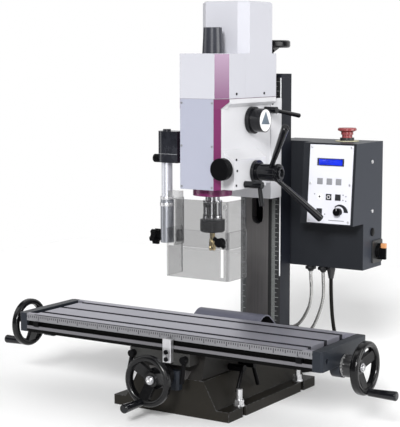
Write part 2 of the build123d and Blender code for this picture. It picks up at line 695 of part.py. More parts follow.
def saddle_fittings():
    """Bronze X and Y feed nuts, and the aluminium index block on the saddle's front."""
    half = SCREW_GROOVE_WIDTH / 2
    x_nut = block(-NUT_LENGTH / 2, NUT_LENGTH / 2, TABLE_Y - half, TABLE_Y + half,
                  SCREW_GROOVE_FLOOR_Z, X_WAY_TOP_Z - 2.0)
    x_nut -= rod_x(-NUT_LENGTH / 2, NUT_LENGTH / 2, TABLE_Y, X_SCREW_Z, SCREW_RADIUS + RUN_FIT)
    half_nut = Y_SLOT_WIDTH / 2 - 2.0
    y_nut = block(-half_nut, half_nut, TABLE_Y - NUT_LENGTH / 2, TABLE_Y + NUT_LENGTH / 2,
                  Y_SLOT_FLOOR_Z + 3.0, Y_WAY_TOP_Z + WAY_FIT)
    y_nut -= rod_y(0, TABLE_Y - NUT_LENGTH / 2, TABLE_Y + NUT_LENGTH / 2, Y_SCREW_Z, SCREW_RADIUS + RUN_FIT)
    left = INDEX_BLOCK_X - INDEX_BLOCK_WIDTH / 2
    front = SADDLE_FRONT_Y - INDEX_BLOCK_DEPTH
    index = block(left, left + INDEX_BLOCK_WIDTH, front, SADDLE_FRONT_Y, INDEX_BLOCK_BOTTOM_Z, INDEX_BLOCK_TOP_Z)
    index = chamfer(index.edges().filter_by(Axis.Z), 1.0)
    screw_z = INDEX_BLOCK_BOTTOM_Z + INDEX_SCREW_RADIUS + 2.0
    screws = [rod_y(INDEX_BLOCK_X, front - INDEX_SCREW_HEAD, front, screw_z + row * INDEX_SCREW_PITCH,
                    INDEX_SCREW_RADIUS) for row in range(2)]
    return group(x_nut, y_nut, index, *screws)


# Table group


def table():
    """Table casting with three tee slots, end troughs, the stop groove and the X dovetail channel."""
    end = TABLE_CASTING_END_X
    body = block(-end, end, TABLE_FRONT_Y, TABLE_BACK_Y, TABLE_BOTTOM_Z, TABLE_TOP_Z)
    body -= prism_x(x_way_outline(WAY_FIT), -end, end)
    trough_x = end - TROUGH_LENGTH
    for row in (-1, 0, 1):
        y = TABLE_Y + row * TSLOT_PITCH
        neck_z = TABLE_TOP_Z - TSLOT_NECK_DEPTH
        body -= block(-trough_x, trough_x, y - TSLOT_NECK_WIDTH / 2, y + TSLOT_NECK_WIDTH / 2, neck_z, TABLE_TOP_Z)
        body -= block(-trough_x, trough_x, y - TSLOT_FOOT_WIDTH / 2, y + TSLOT_FOOT_WIDTH / 2, TSLOT_BOTTOM_Z, neck_z)
    for side in (-1, 1):
        near, far = sorted((side * trough_x, side * end))
        body -= block(near, far, TABLE_FRONT_Y + TROUGH_RIM, TABLE_BACK_Y - TROUGH_RIM, TSLOT_BOTTOM_Z, TABLE_TOP_Z)
    groove_top = TABLE_TOP_Z - STOP_GROOVE_TOP_DROP
    body -= block(-end, end, TABLE_FRONT_Y, TABLE_FRONT_Y + STOP_GROOVE_DEPTH,
                  groove_top - STOP_GROOVE_HEIGHT, groove_top)
    return body


def table_fittings():
    """End brackets that carry the X screw, and the two travel stops in the front groove."""
    groove_mid = TABLE_TOP_Z - STOP_GROOVE_TOP_DROP - STOP_GROOVE_HEIGHT / 2
    pieces = []
    for side in (-1, 1):
        near, far = sorted((side * TABLE_CASTING_END_X, side * TABLE_LENGTH / 2))
        bracket = block(near, far, TABLE_FRONT_Y, TABLE_BACK_Y, TABLE_BOTTOM_Z, TABLE_TOP_Z)
        bracket = chamfer(bracket.edges().filter_by(Axis.Z).group_by(Axis.X)[-1 if side > 0 else 0], 4.0)
        bracket += rod_x(near, far, TABLE_Y, X_SCREW_Z, BRACKET_BOSS_RADIUS)
        bracket -= rod_x(near, far, TABLE_Y, X_SCREW_Z, SCREW_RADIUS + RUN_FIT)
        hole_x = sorted((side * TABLE_LENGTH / 2, side * (TABLE_LENGTH / 2 - BRACKET_SCREW_DEPTH)))
        for y in (TABLE_FRONT_Y + BRACKET_SCREW_INSET, TABLE_BACK_Y - BRACKET_SCREW_INSET):
            bracket -= rod_x(hole_x[0], hole_x[1], y, groove_mid, BRACKET_SCREW_RADIUS)
        pieces.append(bracket)
        stop_x = side * STOP_X
        half_height = STOP_GROOVE_HEIGHT / 2
        pieces.append(block(stop_x - STOP_LENGTH / 2, stop_x + STOP_LENGTH / 2, TABLE_FRONT_Y - STOP_STICKOUT,
                            TABLE_FRONT_Y + STOP_GROOVE_DEPTH, groove_mid - half_height, groove_mid + half_height))
    return group(*pieces)


# Lead screws, handwheels and grips


def handwheel(collar_radius, collar_length, grip_angle):
    """A dished spoked wheel on the +Z axis: dial collar, hub, spokes, rim and the grip's pin."""
    hub_end = collar_length + HUB_LENGTH
    wheel = Pos(0, 0, collar_length / 2) * Cylinder(collar_radius, collar_length)
    wheel += Pos(0, 0, collar_length + HUB_LENGTH / 2) * Cylinder(HUB_RADIUS, HUB_LENGTH)
    section = Pos(WHEEL_RADIUS - RIM_DEPTH / 2, hub_end + RIM_LENGTH / 2) * RectangleRounded(
        RIM_DEPTH, RIM_LENGTH, RIM_ROUND)
    wheel += revolve(Plane.XZ * section, Axis.Z)
    inner = HUB_RADIUS - 3.0
    outer = WHEEL_RADIUS - RIM_DEPTH / 2
    low = hub_end - SPOKE_THICKNESS
    high = hub_end + (RIM_LENGTH - SPOKE_THICKNESS) / 2
    outline = Polygon((inner, low), (outer, high), (outer, high + SPOKE_THICKNESS),
                      (inner, low + SPOKE_THICKNESS), align=None)
    spoke = extrude(Plane.XZ * outline, amount=SPOKE_WIDTH / 2, both=True)
    for step in range(SPOKE_COUNT):
        wheel += Rot(0, 0, grip_angle + step * 360 / SPOKE_COUNT) * spoke
    return wheel - Pos(0, 0, hub_end / 2) * Cylinder(SCREW_RADIUS + RUN_FIT, hub_end)


def grip_pin(collar_length, grip_angle):
    """The pin on a wheel's rim that a grip turns on."""
    start = collar_length + HUB_LENGTH + RIM_LENGTH / 2
    pin = Pos(GRIP_RING_RADIUS, 0, start + GRIP_PIN_LENGTH / 2) * Cylinder(GRIP_PIN_RADIUS, GRIP_PIN_LENGTH)
    return Rot(0, 0, grip_angle) * pin


def wheel_with_pin(collar_length, grip_angle):
    """A handwheel with a pin for its grip."""
    return handwheel(COLLAR_RADIUS, collar_length, grip_angle) + grip_pin(collar_length, grip_angle)


def grip(collar_length, grip_angle):
    """A tapered turning grip on its wheel's pin."""
    root = collar_length + HUB_LENGTH + RIM_LENGTH + FREE_GAP
    bore = GRIP_PIN_LENGTH - RIM_LENGTH / 2
    body = turned([(0, 0), (GRIP_ROOT_RADIUS, 0), (GRIP_END_RADIUS, GRIP_LENGTH), (0, GRIP_LENGTH)])
    body = fillet(body.edges().group_by(Axis.Z)[-1], GRIP_ROUND)
    body -= Pos(0, 0, bore / 2) * Cylinder(GRIP_PIN_RADIUS + RUN_FIT, bore)
    return Rot(0, 0, grip_angle) * Pos(GRIP_RING_RADIUS, 0, root) * body


def screw_end(collar_length):
    """The wheel's end of a screw: a plain journal through the hub and a bolt head on it."""
    length = collar_length + HUB_LENGTH
    journal = Pos(0, 0, length / 2) * Cylinder(SCREW_RADIUS, length)
    return journal + Pos(0, 0, length + BOLT_HEAD_LENGTH / 2) * Cylinder(BOLT_HEAD_RADIUS, BOLT_HEAD_LENGTH)


def right_wheel_place():
    """Frame of the right X wheel, its axis pointing out to the right."""
    return Pos(X_WHEEL_START, TABLE_Y, X_SCREW_Z) * Rot(0, 90, 0)


def left_wheel_place():
    """Frame of the left X wheel, its axis pointing out to the left."""
    return Pos(-X_WHEEL_START, TABLE_Y, X_SCREW_Z) * Rot(0, -90, 0)


def y_wheel_place():
    """Frame of the Y wheel, its axis pointing to the front."""
    return Pos(0, Y_WHEEL_START, Y_SCREW_Z) * Rot(90, 0, 0)


def z_wheel_place():
    """Frame of the Z wheel on top of the column."""
    return Pos(0, Z_SCREW_Y, Z_WHEEL_START)


# In the turned frames of the X wheels the grip hangs straight down at these angles.
RIGHT_GRIP_ANGLE = 0.0
LEFT_GRIP_ANGLE = 180.0


def x_leadscrew():
    """The X screw under the table, with a bolt head at each end."""
    screw = rod_x(-X_WHEEL_START, X_WHEEL_START, TABLE_Y, X_SCREW_Z, SCREW_RADIUS)
    screw += right_wheel_place() * screw_end(RIGHT_COLLAR_LENGTH)
    return screw + left_wheel_place() * screw_end(LEFT_COLLAR_LENGTH)


def x_handwheels():
    """The two X wheels with their grip pins."""
    right = right_wheel_place() * wheel_with_pin(RIGHT_COLLAR_LENGTH, RIGHT_GRIP_ANGLE)
    left = left_wheel_place() * wheel_with_pin(LEFT_COLLAR_LENGTH, LEFT_GRIP_ANGLE)
    return group(right, left)


def y_leadscrew():
    """The Y screw in the base's slot."""
    screw = rod_y(0, Y_WHEEL_START, Y_SCREW_BACK_Y, Y_SCREW_Z, SCREW_RADIUS)
    return screw + y_wheel_place() * screw_end(Y_COLLAR_LENGTH)


def z_screw_and_wheel():
    """The Z screw inside the column and the wheel on its top end."""
    screw = rod_z(0, Z_SCREW_Y, CAVITY_FLOOR_Z - Z_SCREW_TAIL + FREE_GAP, Z_WHEEL_START, SCREW_RADIUS)
    screw += z_wheel_place() * screw_end(Z_COLLAR_LENGTH)
    return group(screw, z_wheel_place() * handwheel(BEARING_RADIUS, Z_COLLAR_LENGTH, 90.0))


# Head group


def flare_line():
    """Outer line of the head's slanted front corner at the seam, in X and Y."""
    return (PANEL_WIDTH / 2 + 0.5, PANEL_FRONT_Y), (RIM_WIDTH / 2, RIM_FRONT_Y)


def flare_x(y, depth):
    """X on the slanted corner at a given Y, a depth inside its outer line."""
    (x0, y0), (x1, y1) = flare_line()
    run = math.hypot(x1 - x0, y1 - y0)
    return x0 + (y - y0) * (x1 - x0) / (y1 - y0) - depth * run / (y1 - y0)


def head_casting():
    """Head body, rim under the covers, feed bulge, and the carriage that runs on the column."""
    half = HEAD_WIDTH / 2
    rim_low_z = HEAD_SEAM_Z - RIM_BAND
    body = block(-half, half, HEAD_FRONT_Y, CARRIAGE_FRONT_Y, HEAD_BOTTOM_Z, rim_low_z)
    body -= corner_relief()
    rim_half = RIM_WIDTH / 2
    rim = mirrored([(half, rim_low_z - RIM_CHAMFER), (rim_half, rim_low_z), (rim_half, HEAD_SEAM_Z)])
    body += prism_y(rim, RIM_FRONT_Y, RIM_BACK_Y)
    nose = mirrored([(flare_x(HEAD_FRONT_Y, FLARE_THICKNESS), HEAD_FRONT_Y),
                     (flare_x(RIM_FRONT_Y, FLARE_THICKNESS), RIM_FRONT_Y)])
    body += prism_z(nose, FLARE_LOW_Z, HEAD_SEAM_Z)
    carriage_half = CARRIAGE_WIDTH / 2
    carriage_back = COLUMN_FRONT_Y - FREE_GAP
    body += block(-carriage_half, carriage_half, CARRIAGE_FRONT_Y, carriage_back, CARRIAGE_BOTTOM_Z, CARRIAGE_TOP_Z)
    body -= prism_z(z_way_outline(WAY_FIT), CARRIAGE_BOTTOM_Z, HEAD_SEAM_Z)
    slope = [(half, HEAD_BOTTOM_Z), (BULGE_X, HEAD_BOTTOM_Z), (BULGE_X, BULGE_EDGE_Z), (half, BULGE_TOP_Z)]
    body += prism_y(slope, BULGE_FRONT_Y, BULGE_BACK_Y)
    return body - head_bores()


def corner_relief():
    """The head's front corners cut back behind the slanted trim at the seam."""
    front = HEAD_FRONT_Y - 1.0
    outer = RIM_WIDTH / 2
    cut = [(flare_x(front, FLARE_THICKNESS), front), (outer, front), (outer, RIM_FRONT_Y),
           (flare_x(RIM_FRONT_Y, FLARE_THICKNESS), RIM_FRONT_Y)]
    solid = prism_z(cut, FLARE_LOW_Z, HEAD_SEAM_Z)
    return solid + mirror(solid, Plane.YZ)


def head_bores():
    """Bores of the head for the quill, the belt sleeve, the feed pinion and the control shafts."""
    half = HEAD_WIDTH / 2
    cuts = rod_z(0, SPINDLE_Y, HEAD_BOTTOM_Z, SLEEVE_BOTTOM_Z - FREE_GAP, QUILL_RADIUS + RUN_FIT)
    cuts += rod_z(0, SPINDLE_Y, HEAD_BOTTOM_Z, HEAD_SEAM_Z, SLEEVE_RADIUS + RUN_FIT)
    half_pinion = PINION_LENGTH / 2 + FREE_GAP
    cuts += rod_x(-half_pinion, half_pinion, FEED_Y, FEED_Z, PINION_RADIUS + 1.0)
    cuts += rod_x(0, BULGE_X, FEED_Y, FEED_Z, FEED_SHAFT_RADIUS + RUN_FIT)
    cuts += rod_y(FINE_KNOB_X, BULGE_FRONT_Y, BULGE_FRONT_Y + FINE_SHAFT_DEPTH, FINE_KNOB_Z, FINE_SHAFT_RADIUS + RUN_FIT)
    cuts += rod_x(half - SELECTOR_SHAFT_DEPTH, half, SELECTOR_Y, SELECTOR_Z, SELECTOR_SHAFT_RADIUS + RUN_FIT)
    cuts += rod_x(half - LEVER_SHAFT_DEPTH, half, Z_CLAMP_Y, Z_CLAMP_Z, LEVER_SHAFT_RADIUS + RUN_FIT)
    cuts += rod_x(BULGE_X - LEVER_SHAFT_DEPTH, BULGE_X, QUILL_CLAMP_Y, QUILL_CLAMP_Z, LEVER_SHAFT_RADIUS + RUN_FIT)
    return cuts


def front_panel():
    """Shallow front cover of the head, open at the back."""
    half = PANEL_WIDTH / 2
    body = block(-half, half, PANEL_FRONT_Y, HEAD_FRONT_Y, HEAD_BOTTOM_Z, HEAD_SEAM_Z)
    inside = half - PANEL_WALL
    return body - block(-inside, inside, PANEL_FRONT_Y + PANEL_WALL, HEAD_FRONT_Y,
                        HEAD_BOTTOM_Z + PANEL_WALL, HEAD_SEAM_Z - PANEL_WALL)


def accent_trim():
    """Coloured trim: corner strips, their flares at the seam, cover windows and the quill ring."""
    edge = PANEL_WIDTH / 2
    half = HEAD_WIDTH / 2
    strip = prism_z([(edge, PANEL_FRONT_Y), (half, HEAD_FRONT_Y), (edge, HEAD_FRONT_Y)], HEAD_BOTTOM_Z, HEAD_SEAM_Z)
    (x0, y0), (x1, y1) = flare_line()
    flare = prism_z([(edge, HEAD_FRONT_Y), (edge, y0), (x0, y0), (x1, y1), (flare_x(y1, FLARE_THICKNESS), y1),
                     (flare_x(HEAD_FRONT_Y, FLARE_THICKNESS), HEAD_FRONT_Y)], FLARE_LOW_Z, HEAD_SEAM_Z)
    side = prism_x([(y0, FLARE_LOW_Z), (HEAD_FRONT_Y, FLARE_LOW_Z), (y1, FLARE_HIGH_Z), (y1, HEAD_SEAM_Z),
                    (y0, HEAD_SEAM_Z)], 0, RIM_WIDTH)
    below = prism_z([(edge, y0), (x0 + 20, y0), (x0 + 20, HEAD_FRONT_Y), (edge, HEAD_FRONT_Y)],
                    HEAD_BOTTOM_Z, FLARE_LOW_Z)
    corner = (strip & below) + (flare & side)
    ring = rod_z(0, SPINDLE_Y, RING_BOTTOM_Z, HEAD_BOTTOM_Z, RING_RADIUS)
    ring -= rod_z(0, SPINDLE_Y, RING_BOTTOM_Z, HEAD_BOTTOM_Z, QUILL_RADIUS + FREE_GAP)
    return group(*both_sides(corner), *both_sides(cover_window()), ring)


def belt_cover_outline(inset):
    """Plan of the belt cover, an inset inside its outer face."""
    nose = BELT_COVER_NOSE_WIDTH / 2 - inset
    back = RIM_WIDTH / 2 - inset
    return mirrored([(nose, BELT_COVER_NOSE_Y + inset), (back, RIM_FRONT_Y + inset / 2), (back, MOTOR_COVER_FRONT_Y)])


def cover_window():
    """The tinted panel let into the belt cover's slanted side."""
    start = Vector(BELT_COVER_NOSE_WIDTH / 2, BELT_COVER_NOSE_Y)
    end = Vector(RIM_WIDTH / 2, RIM_FRONT_Y)
    along = (end - start).normalized()
    inward = Vector(-along.Y, along.X)
    near = start + along * WINDOW_MARGIN
    far = end - along * WINDOW_MARGIN
    corners = [near, far, far + inward * WINDOW_THICKNESS, near + inward * WINDOW_THICKNESS]
    return prism_z([(p.X, p.Y) for p in corners], COVER_START_Z + WINDOW_MARGIN, BELT_COVER_TOP_Z - WINDOW_MARGIN)


def belt_cover():
    """Front cover over the belt, open below and towards the motor cover."""
    body = prism_z(belt_cover_outline(0), COVER_START_Z, BELT_COVER_TOP_Z)
    body -= prism_z(belt_cover_outline(COVER_WALL), COVER_START_Z, BELT_COVER_TOP_Z - COVER_WALL)
    body -= rod_z(0, SPINDLE_Y, BELT_COVER_TOP_Z - COVER_WALL, BELT_COVER_TOP_Z, SPINDLE_RADIUS)
    for window in both_sides(cover_window()):
        body -= window
    return body


def motor_cover():
    """Tall cover over the motor, with cut corners above the belt cover."""
    half = RIM_WIDTH / 2
    front = MOTOR_COVER_FRONT_Y
    body = block(-half, half, front, RIM_BACK_Y, COVER_START_Z, MOTOR_COVER_TOP_Z)
    cut = MOTOR_COVER_CHAMFER
    for x in (-1, 1):
        for y, inward in ((front, 1), (RIM_BACK_Y, -1)):
            corner = [(x * half, y), (x * (half - cut), y), (x * half, y + inward * cut)]
            body -= prism_z(corner, BELT_COVER_TOP_Z, MOTOR_COVER_TOP_Z)
    body = chamfer(body.faces().sort_by(Axis.Z)[-1].edges(), MOTOR_COVER_TOP_ROUND)
    inner = half - COVER_WALL
    inner_cut = cut - COVER_WALL
    shell = block(-inner, inner, front + COVER_WALL, RIM_BACK_Y - COVER_WALL, COVER_START_Z,
                  MOTOR_COVER_TOP_Z - COVER_WALL)
    for x in (-1, 1):
        for y, inward in ((front + COVER_WALL, 1), (RIM_BACK_Y - COVER_WALL, -1)):
            corner = [(x * inner, y), (x * (inner - inner_cut), y), (x * inner, y + inward * inner_cut)]
            shell -= prism_z(corner, BELT_COVER_TOP_Z - COVER_WALL, MOTOR_COVER_TOP_Z - COVER_WALL)
    body -= shell
    return body - block(-inner, inner, front, front + COVER_WALL, COVER_START_Z, BELT_COVER_TOP_Z - COVER_WALL)


def drawbar_cap():
    """Tapered black cap over the drawbar, hollow from below."""
    low = BELT_COVER_TOP_Z
    top = low + DRAWBAR_CAP_HEIGHT
    wall = DRAWBAR_CAP_WALL
    cap = turned([(0, low), (DRAWBAR_CAP_RADIUS, low), (DRAWBAR_CAP_TOP_RADIUS, top), (0, top)])
    cap -= turned([(0, low), (DRAWBAR_CAP_RADIUS - wall, low), (DRAWBAR_CAP_TOP_RADIUS - wall, top - wall),
                   (0, top - wall)])
    return Pos(0, SPINDLE_Y) * cap


def motor():
    """Motor body on its plate and four posts."""
    plate_z = MOTOR_BOTTOM_Z - MOTOR_PLATE_THICKNESS
    half = MOTOR_POST_PITCH / 2
    edge = half + MOTOR_POST_RADIUS + 2.0
    body = block(-edge, edge, MOTOR_Y - edge, MOTOR_Y + edge, plate_z, MOTOR_BOTTOM_Z)
    body += rod_z(0, MOTOR_Y, MOTOR_BOTTOM_Z, MOTOR_TOP_Z, MOTOR_RADIUS)
    body -= rod_z(0, MOTOR_Y, plate_z, MOTOR_BOTTOM_Z + MOTOR_SHAFT_DEPTH, MOTOR_SHAFT_RADIUS + RUN_FIT)
    posts = [rod_z(x, MOTOR_Y + y, HEAD_SEAM_Z, plate_z, MOTOR_POST_RADIUS)
             for x in (-half, half) for y in (-half, half)]
    return group(body, *posts)


def motor_pulley():
    """Motor shaft with the small belt pulley."""
    top = PULLEY_BOTTOM_Z + PULLEY_HEIGHT
    body = rod_z(0, MOTOR_Y, PULLEY_BOTTOM_Z, top, MOTOR_PULLEY_RADIUS)
    return body + rod_z(0, MOTOR_Y, top, MOTOR_BOTTOM_Z + MOTOR_SHAFT_DEPTH - FREE_GAP, MOTOR_SHAFT_RADIUS)


def spindle_pulley():
    """Large belt pulley on the sleeve that drives the spindle's tail."""
    body = rod_z(0, SPINDLE_Y, PULLEY_BOTTOM_Z, PULLEY_BOTTOM_Z + PULLEY_HEIGHT, SPINDLE_PULLEY_RADIUS)
    body += rod_z(0, SPINDLE_Y, SLEEVE_BOTTOM_Z, PULLEY_BOTTOM_Z, SLEEVE_RADIUS)
    top = PULLEY_BOTTOM_Z + PULLEY_HEIGHT
    return body - rod_z(0, SPINDLE_Y, SLEEVE_BOTTOM_Z, top, SPINDLE_TAIL_RADIUS + RUN_FIT)


def drive_belt():
    """Flat belt round both pulleys."""
    low = PULLEY_BOTTOM_Z + (PULLEY_HEIGHT - BELT_WIDTH) / 2
    loops = []
    for extra in (FREE_GAP, FREE_GAP + BELT_THICKNESS):
        circles = (Pos(0, SPINDLE_Y) * Circle(SPINDLE_PULLEY_RADIUS + extra)).edges()
        circles += (Pos(0, MOTOR_Y) * Circle(MOTOR_PULLEY_RADIUS + extra)).edges()
        loops.append(extrude(Plane.XY.offset(low) * make_hull(circles), amount=BELT_WIDTH))
    return loops[1] - loops[0]


def z_nut():
    """Nut on the Z screw with the arm that carries the head through the column's slot."""
    half = NUT_LENGTH / 2
    middle = (CARRIAGE_BOTTOM_Z + CARRIAGE_TOP_Z) / 2
    reach = NUT_SLOT_WIDTH / 2 - 2.5
    nut_half = CAVITY_WIDTH / 2 - 12.0
    body = block(-nut_half, nut_half, CAVITY_FRONT_Y + 1.5, CAVITY_BACK_Y - 1.5, middle - half, middle + half)
    body += block(-reach, reach, Z_WAY_FRONT_Y - WAY_FIT, CAVITY_FRONT_Y + 1.5, middle - half, middle + half)
    return body - rod_z(0, Z_SCREW_Y, middle - half, middle + half, SCREW_RADIUS + RUN_FIT)


# Spindle group


def quill():
    """Quill tube with two spindle bearings in it."""
    tube = rod_z(0, SPINDLE_Y, QUILL_BOTTOM_Z, QUILL_TOP_Z, QUILL_RADIUS)
    tube -= rod_z(0, SPINDLE_Y, QUILL_BOTTOM_Z, QUILL_TOP_Z, QUILL_BORE)
    rings = []
    for low, radius in ((QUILL_BOTTOM_Z, SPINDLE_RADIUS), (QUILL_TOP_Z - BEARING_RING_HEIGHT, SPINDLE_TAIL_RADIUS)):
        high = low + BEARING_RING_HEIGHT
        ring = rod_z(0, SPINDLE_Y, low, high, QUILL_BORE - RUN_FIT)
        rings.append(ring - rod_z(0, SPINDLE_Y, low, high, radius + RUN_FIT))
    return group(tube, *rings)


def spindle():
    """Stepped spindle: nose below, slim tail through the belt sleeve."""
    shoulder = QUILL_TOP_Z - BEARING_RING_HEIGHT - FREE_GAP
    body = rod_z(0, SPINDLE_Y, SPINDLE_NOSE_Z, shoulder, SPINDLE_RADIUS)
    return body + rod_z(0, SPINDLE_Y, shoulder, SPINDLE_TOP_Z, SPINDLE_TAIL_RADIUS)


def collet_chuck():
    """Collet chuck body and its clamping nut."""
    body = turned([(0, CHUCK_BOTTOM_Z), (CHUCK_RADIUS, CHUCK_BOTTOM_Z), (CHUCK_RADIUS, SPINDLE_NOSE_Z),
                   (0, SPINDLE_NOSE_Z)])
    cut = COLLET_NUT_CHAMFER
    nut = turned([(MILL_SHANK_RADIUS + RUN_FIT, COLLET_NUT_BOTTOM_Z), (COLLET_NUT_RADIUS - cut, COLLET_NUT_BOTTOM_Z),
                  (COLLET_NUT_RADIUS, COLLET_NUT_BOTTOM_Z + cut), (COLLET_NUT_RADIUS, CHUCK_BOTTOM_Z),
                  (MILL_SHANK_RADIUS + RUN_FIT, CHUCK_BOTTOM_Z)])
    return group(Pos(0, SPINDLE_Y) * body, Pos(0, SPINDLE_Y) * nut)


def end_mill():
    """End mill: shank in the collet and a fluted cutting end."""
    tool = turned([(0, MILL_TIP_Z), (MILL_RADIUS, MILL_TIP_Z), (MILL_RADIUS, MILL_FLUTE_Z),
                   (MILL_SHANK_RADIUS, MILL_FLUTE_Z + 2.0), (MILL_SHANK_RADIUS, CHUCK_BOTTOM_Z), (0, CHUCK_BOTTOM_Z)])
    flute = rod_z(MILL_RADIUS, 0, MILL_TIP_Z, MILL_FLUTE_Z, MILL_RADIUS * 0.42)
    for turn in range(4):
        tool -= Rot(0, 0, 45 + turn * 90) * flute
    return Pos(0, SPINDLE_Y) * tool


# Feed levers, knobs and clamps


def feed_levers():
    """Feed pinion shaft, hub and the two swept handles."""
    start = BULGE_X + FREE_GAP
    flange_end = start + FEED_FLANGE_THICKNESS
    hub = rod_x(-PINION_LENGTH / 2, PINION_LENGTH / 2, FEED_Y, FEED_Z, PINION_RADIUS)
    hub += rod_x(PINION_LENGTH / 2, start, FEED_Y, FEED_Z, FEED_SHAFT_RADIUS)
    hub += rod_x(start, flange_end, FEED_Y, FEED_Z, FEED_FLANGE_RADIUS)
    hub += rod_x(flange_end, FEED_HUB_END_X, FEED_Y, FEED_Z, FEED_HUB_RADIUS)
    grips = []
    for turn in (0, 180):
        angle = math.radians(FEED_ARM_ANGLE + turn)
        way = Vector(FEED_ARM_SWEEP, FEED_ARM_REACH * math.cos(angle), FEED_ARM_REACH * math.sin(angle))
        root = Vector(FEED_ARM_ROOT_X, FEED_Y, FEED_Z)
        tip = root + way
        unit = way.normalized()
        grip_start = tip - unit * FEED_GRIP_LENGTH
        hub += rod_between(tuple(root), tuple(grip_start), FEED_ARM_ROD_RADIUS, FEED_ARM_ROD_RADIUS)
        handle = rod_between(tuple(grip_start), tuple(tip), FEED_GRIP_ROOT_RADIUS, FEED_GRIP_END_RADIUS)
        end = handle.edges().filter_by(GeomType.CIRCLE).sort_by(SortBy.RADIUS)[-1]
        grips.append(fillet(end, FEED_GRIP_ROUND))
    return group(hub, *grips)


def fine_feed_knob():
    """Fine feed knob on its shaft in the bulge."""
    face = BULGE_FRONT_Y - FINE_KNOB_STANDOFF
    knob = rod_y(FINE_KNOB_X, face - FINE_KNOB_LENGTH, face, FINE_KNOB_Z, FINE_KNOB_RADIUS)
    knob = fillet(knob.edges().group_by(Axis.Y)[0], 3.0)
    return knob + rod_y(FINE_KNOB_X, face, BULGE_FRONT_Y + FINE_SHAFT_DEPTH - FREE_GAP, FINE_KNOB_Z, FINE_SHAFT_RADIUS)


def gear_selector():
    """Gear selector: flanged dial with a raised knob."""
    half = HEAD_WIDTH / 2
    start = half + FREE_GAP
    flange_end = start + SELECTOR_FLANGE_THICKNESS
    body = rod_x(start, flange_end, SELECTOR_Y, SELECTOR_Z, SELECTOR_FLANGE_RADIUS)
    body += rod_x(flange_end, SELECTOR_FACE_X, SELECTOR_Y, SELECTOR_Z, SELECTOR_KNOB_RADIUS)
    return body + rod_x(half - SELECTOR_SHAFT_DEPTH + FREE_GAP, start, SELECTOR_Y, SELECTOR_Z, SELECTOR_SHAFT_RADIUS)


def lever_x(seat_x, end_x, y, z, direction, arm):
    """Clamp lever on a shaft along X: shaft, hub and an arm in the YZ direction given."""
    body = rod_x(seat_x - LEVER_SHAFT_DEPTH + FREE_GAP, end_x, y, z, LEVER_SHAFT_RADIUS)
    body += rod_x(seat_x + FREE_GAP, end_x, y, z, LEVER_HUB_RADIUS)
    root = (end_x - LEVER_HUB_RADIUS, y, z)
    tip = (root[0] + direction[0] * arm, y + direction[1] * arm, z + direction[2] * arm)
    return body + rod_between(root, tip, LEVER_ARM_RADIUS, LEVER_ARM_RADIUS + 0.8)


def z_clamp_lever():
    """Lever that clamps the head on the column."""
    drop = math.radians(Z_CLAMP_DROP_ANGLE)
    direction = Vector(0.1, math.cos(drop), -math.sin(drop)).normalized()
    return lever_x(HEAD_WIDTH / 2, Z_CLAMP_END_X, Z_CLAMP_Y, Z_CLAMP_Z, tuple(direction), Z_CLAMP_ARM)


def quill_clamp_lever():
    """Lever that clamps the quill."""
    direction = Vector(0.04, 0.17, -1).normalized()
    return lever_x(BULGE_X, QUILL_CLAMP_END_X, QUILL_CLAMP_Y, QUILL_CLAMP_Z, tuple(direction), QUILL_CLAMP_ARM)


def x_clamp(side, tilt):
    """Clamp lever on the saddle's front, its arm hanging down."""
    x = side * X_CLAMP_X
    front = SADDLE_FRONT_Y - FREE_GAP
    end = front - X_CLAMP_HUB_LENGTH
    body = rod_y(x, end, SADDLE_FRONT_Y + LEVER_SHAFT_DEPTH - FREE_GAP, X_CLAMP_Z, LEVER_SHAFT_RADIUS)
    body += rod_y(x, end, front, X_CLAMP_Z, LEVER_HUB_RADIUS)
    angle = math.radians(tilt)
    root = (x, end + LEVER_HUB_RADIUS - 1.5, X_CLAMP_Z)
    tip = (x + X_CLAMP_ARM * math.sin(angle), root[1], X_CLAMP_Z - X_CLAMP_ARM * math.cos(angle))
    return body + rod_between(root, tip, LEVER_ARM_RADIUS, LEVER_ARM_RADIUS + 0.8)


def y_clamp(y, tilt):
    """Clamp lever on the saddle's right side, its arm hanging down."""
    rise = (Y_CLAMP_Z + LEVER_HUB_RADIUS - SADDLE_BOTTOM_Z) / (SADDLE_TOP_Z - SADDLE_BOTTOM_Z)
    widen = (SADDLE_TOP_WIDTH - SADDLE_BOTTOM_WIDTH) / 2
    seat = SADDLE_BOTTOM_WIDTH / 2 + rise * widen
    end = Y_CLAMP_ARM_X + LEVER_ARM_RADIUS + 1.0
    inner = SADDLE_BOTTOM_WIDTH / 2 - LEVER_SHAFT_DEPTH + 8.0
    body = rod_x(inner + FREE_GAP, end, y, Y_CLAMP_Z, LEVER_SHAFT_RADIUS)
    body += rod_x(seat + FREE_GAP, end, y, Y_CLAMP_Z, LEVER_HUB_RADIUS)
    angle = math.radians(tilt)
    root = (Y_CLAMP_ARM_X, y, Y_CLAMP_Z)
    tip = (Y_CLAMP_ARM_X, y + Y_CLAMP_ARM * math.sin(angle), Y_CLAMP_Z - Y_CLAMP_ARM * math.cos(angle))
    return body + rod_between(root, tip, LEVER_ARM_RADIUS, LEVER_ARM_RADIUS)


# Tool guard


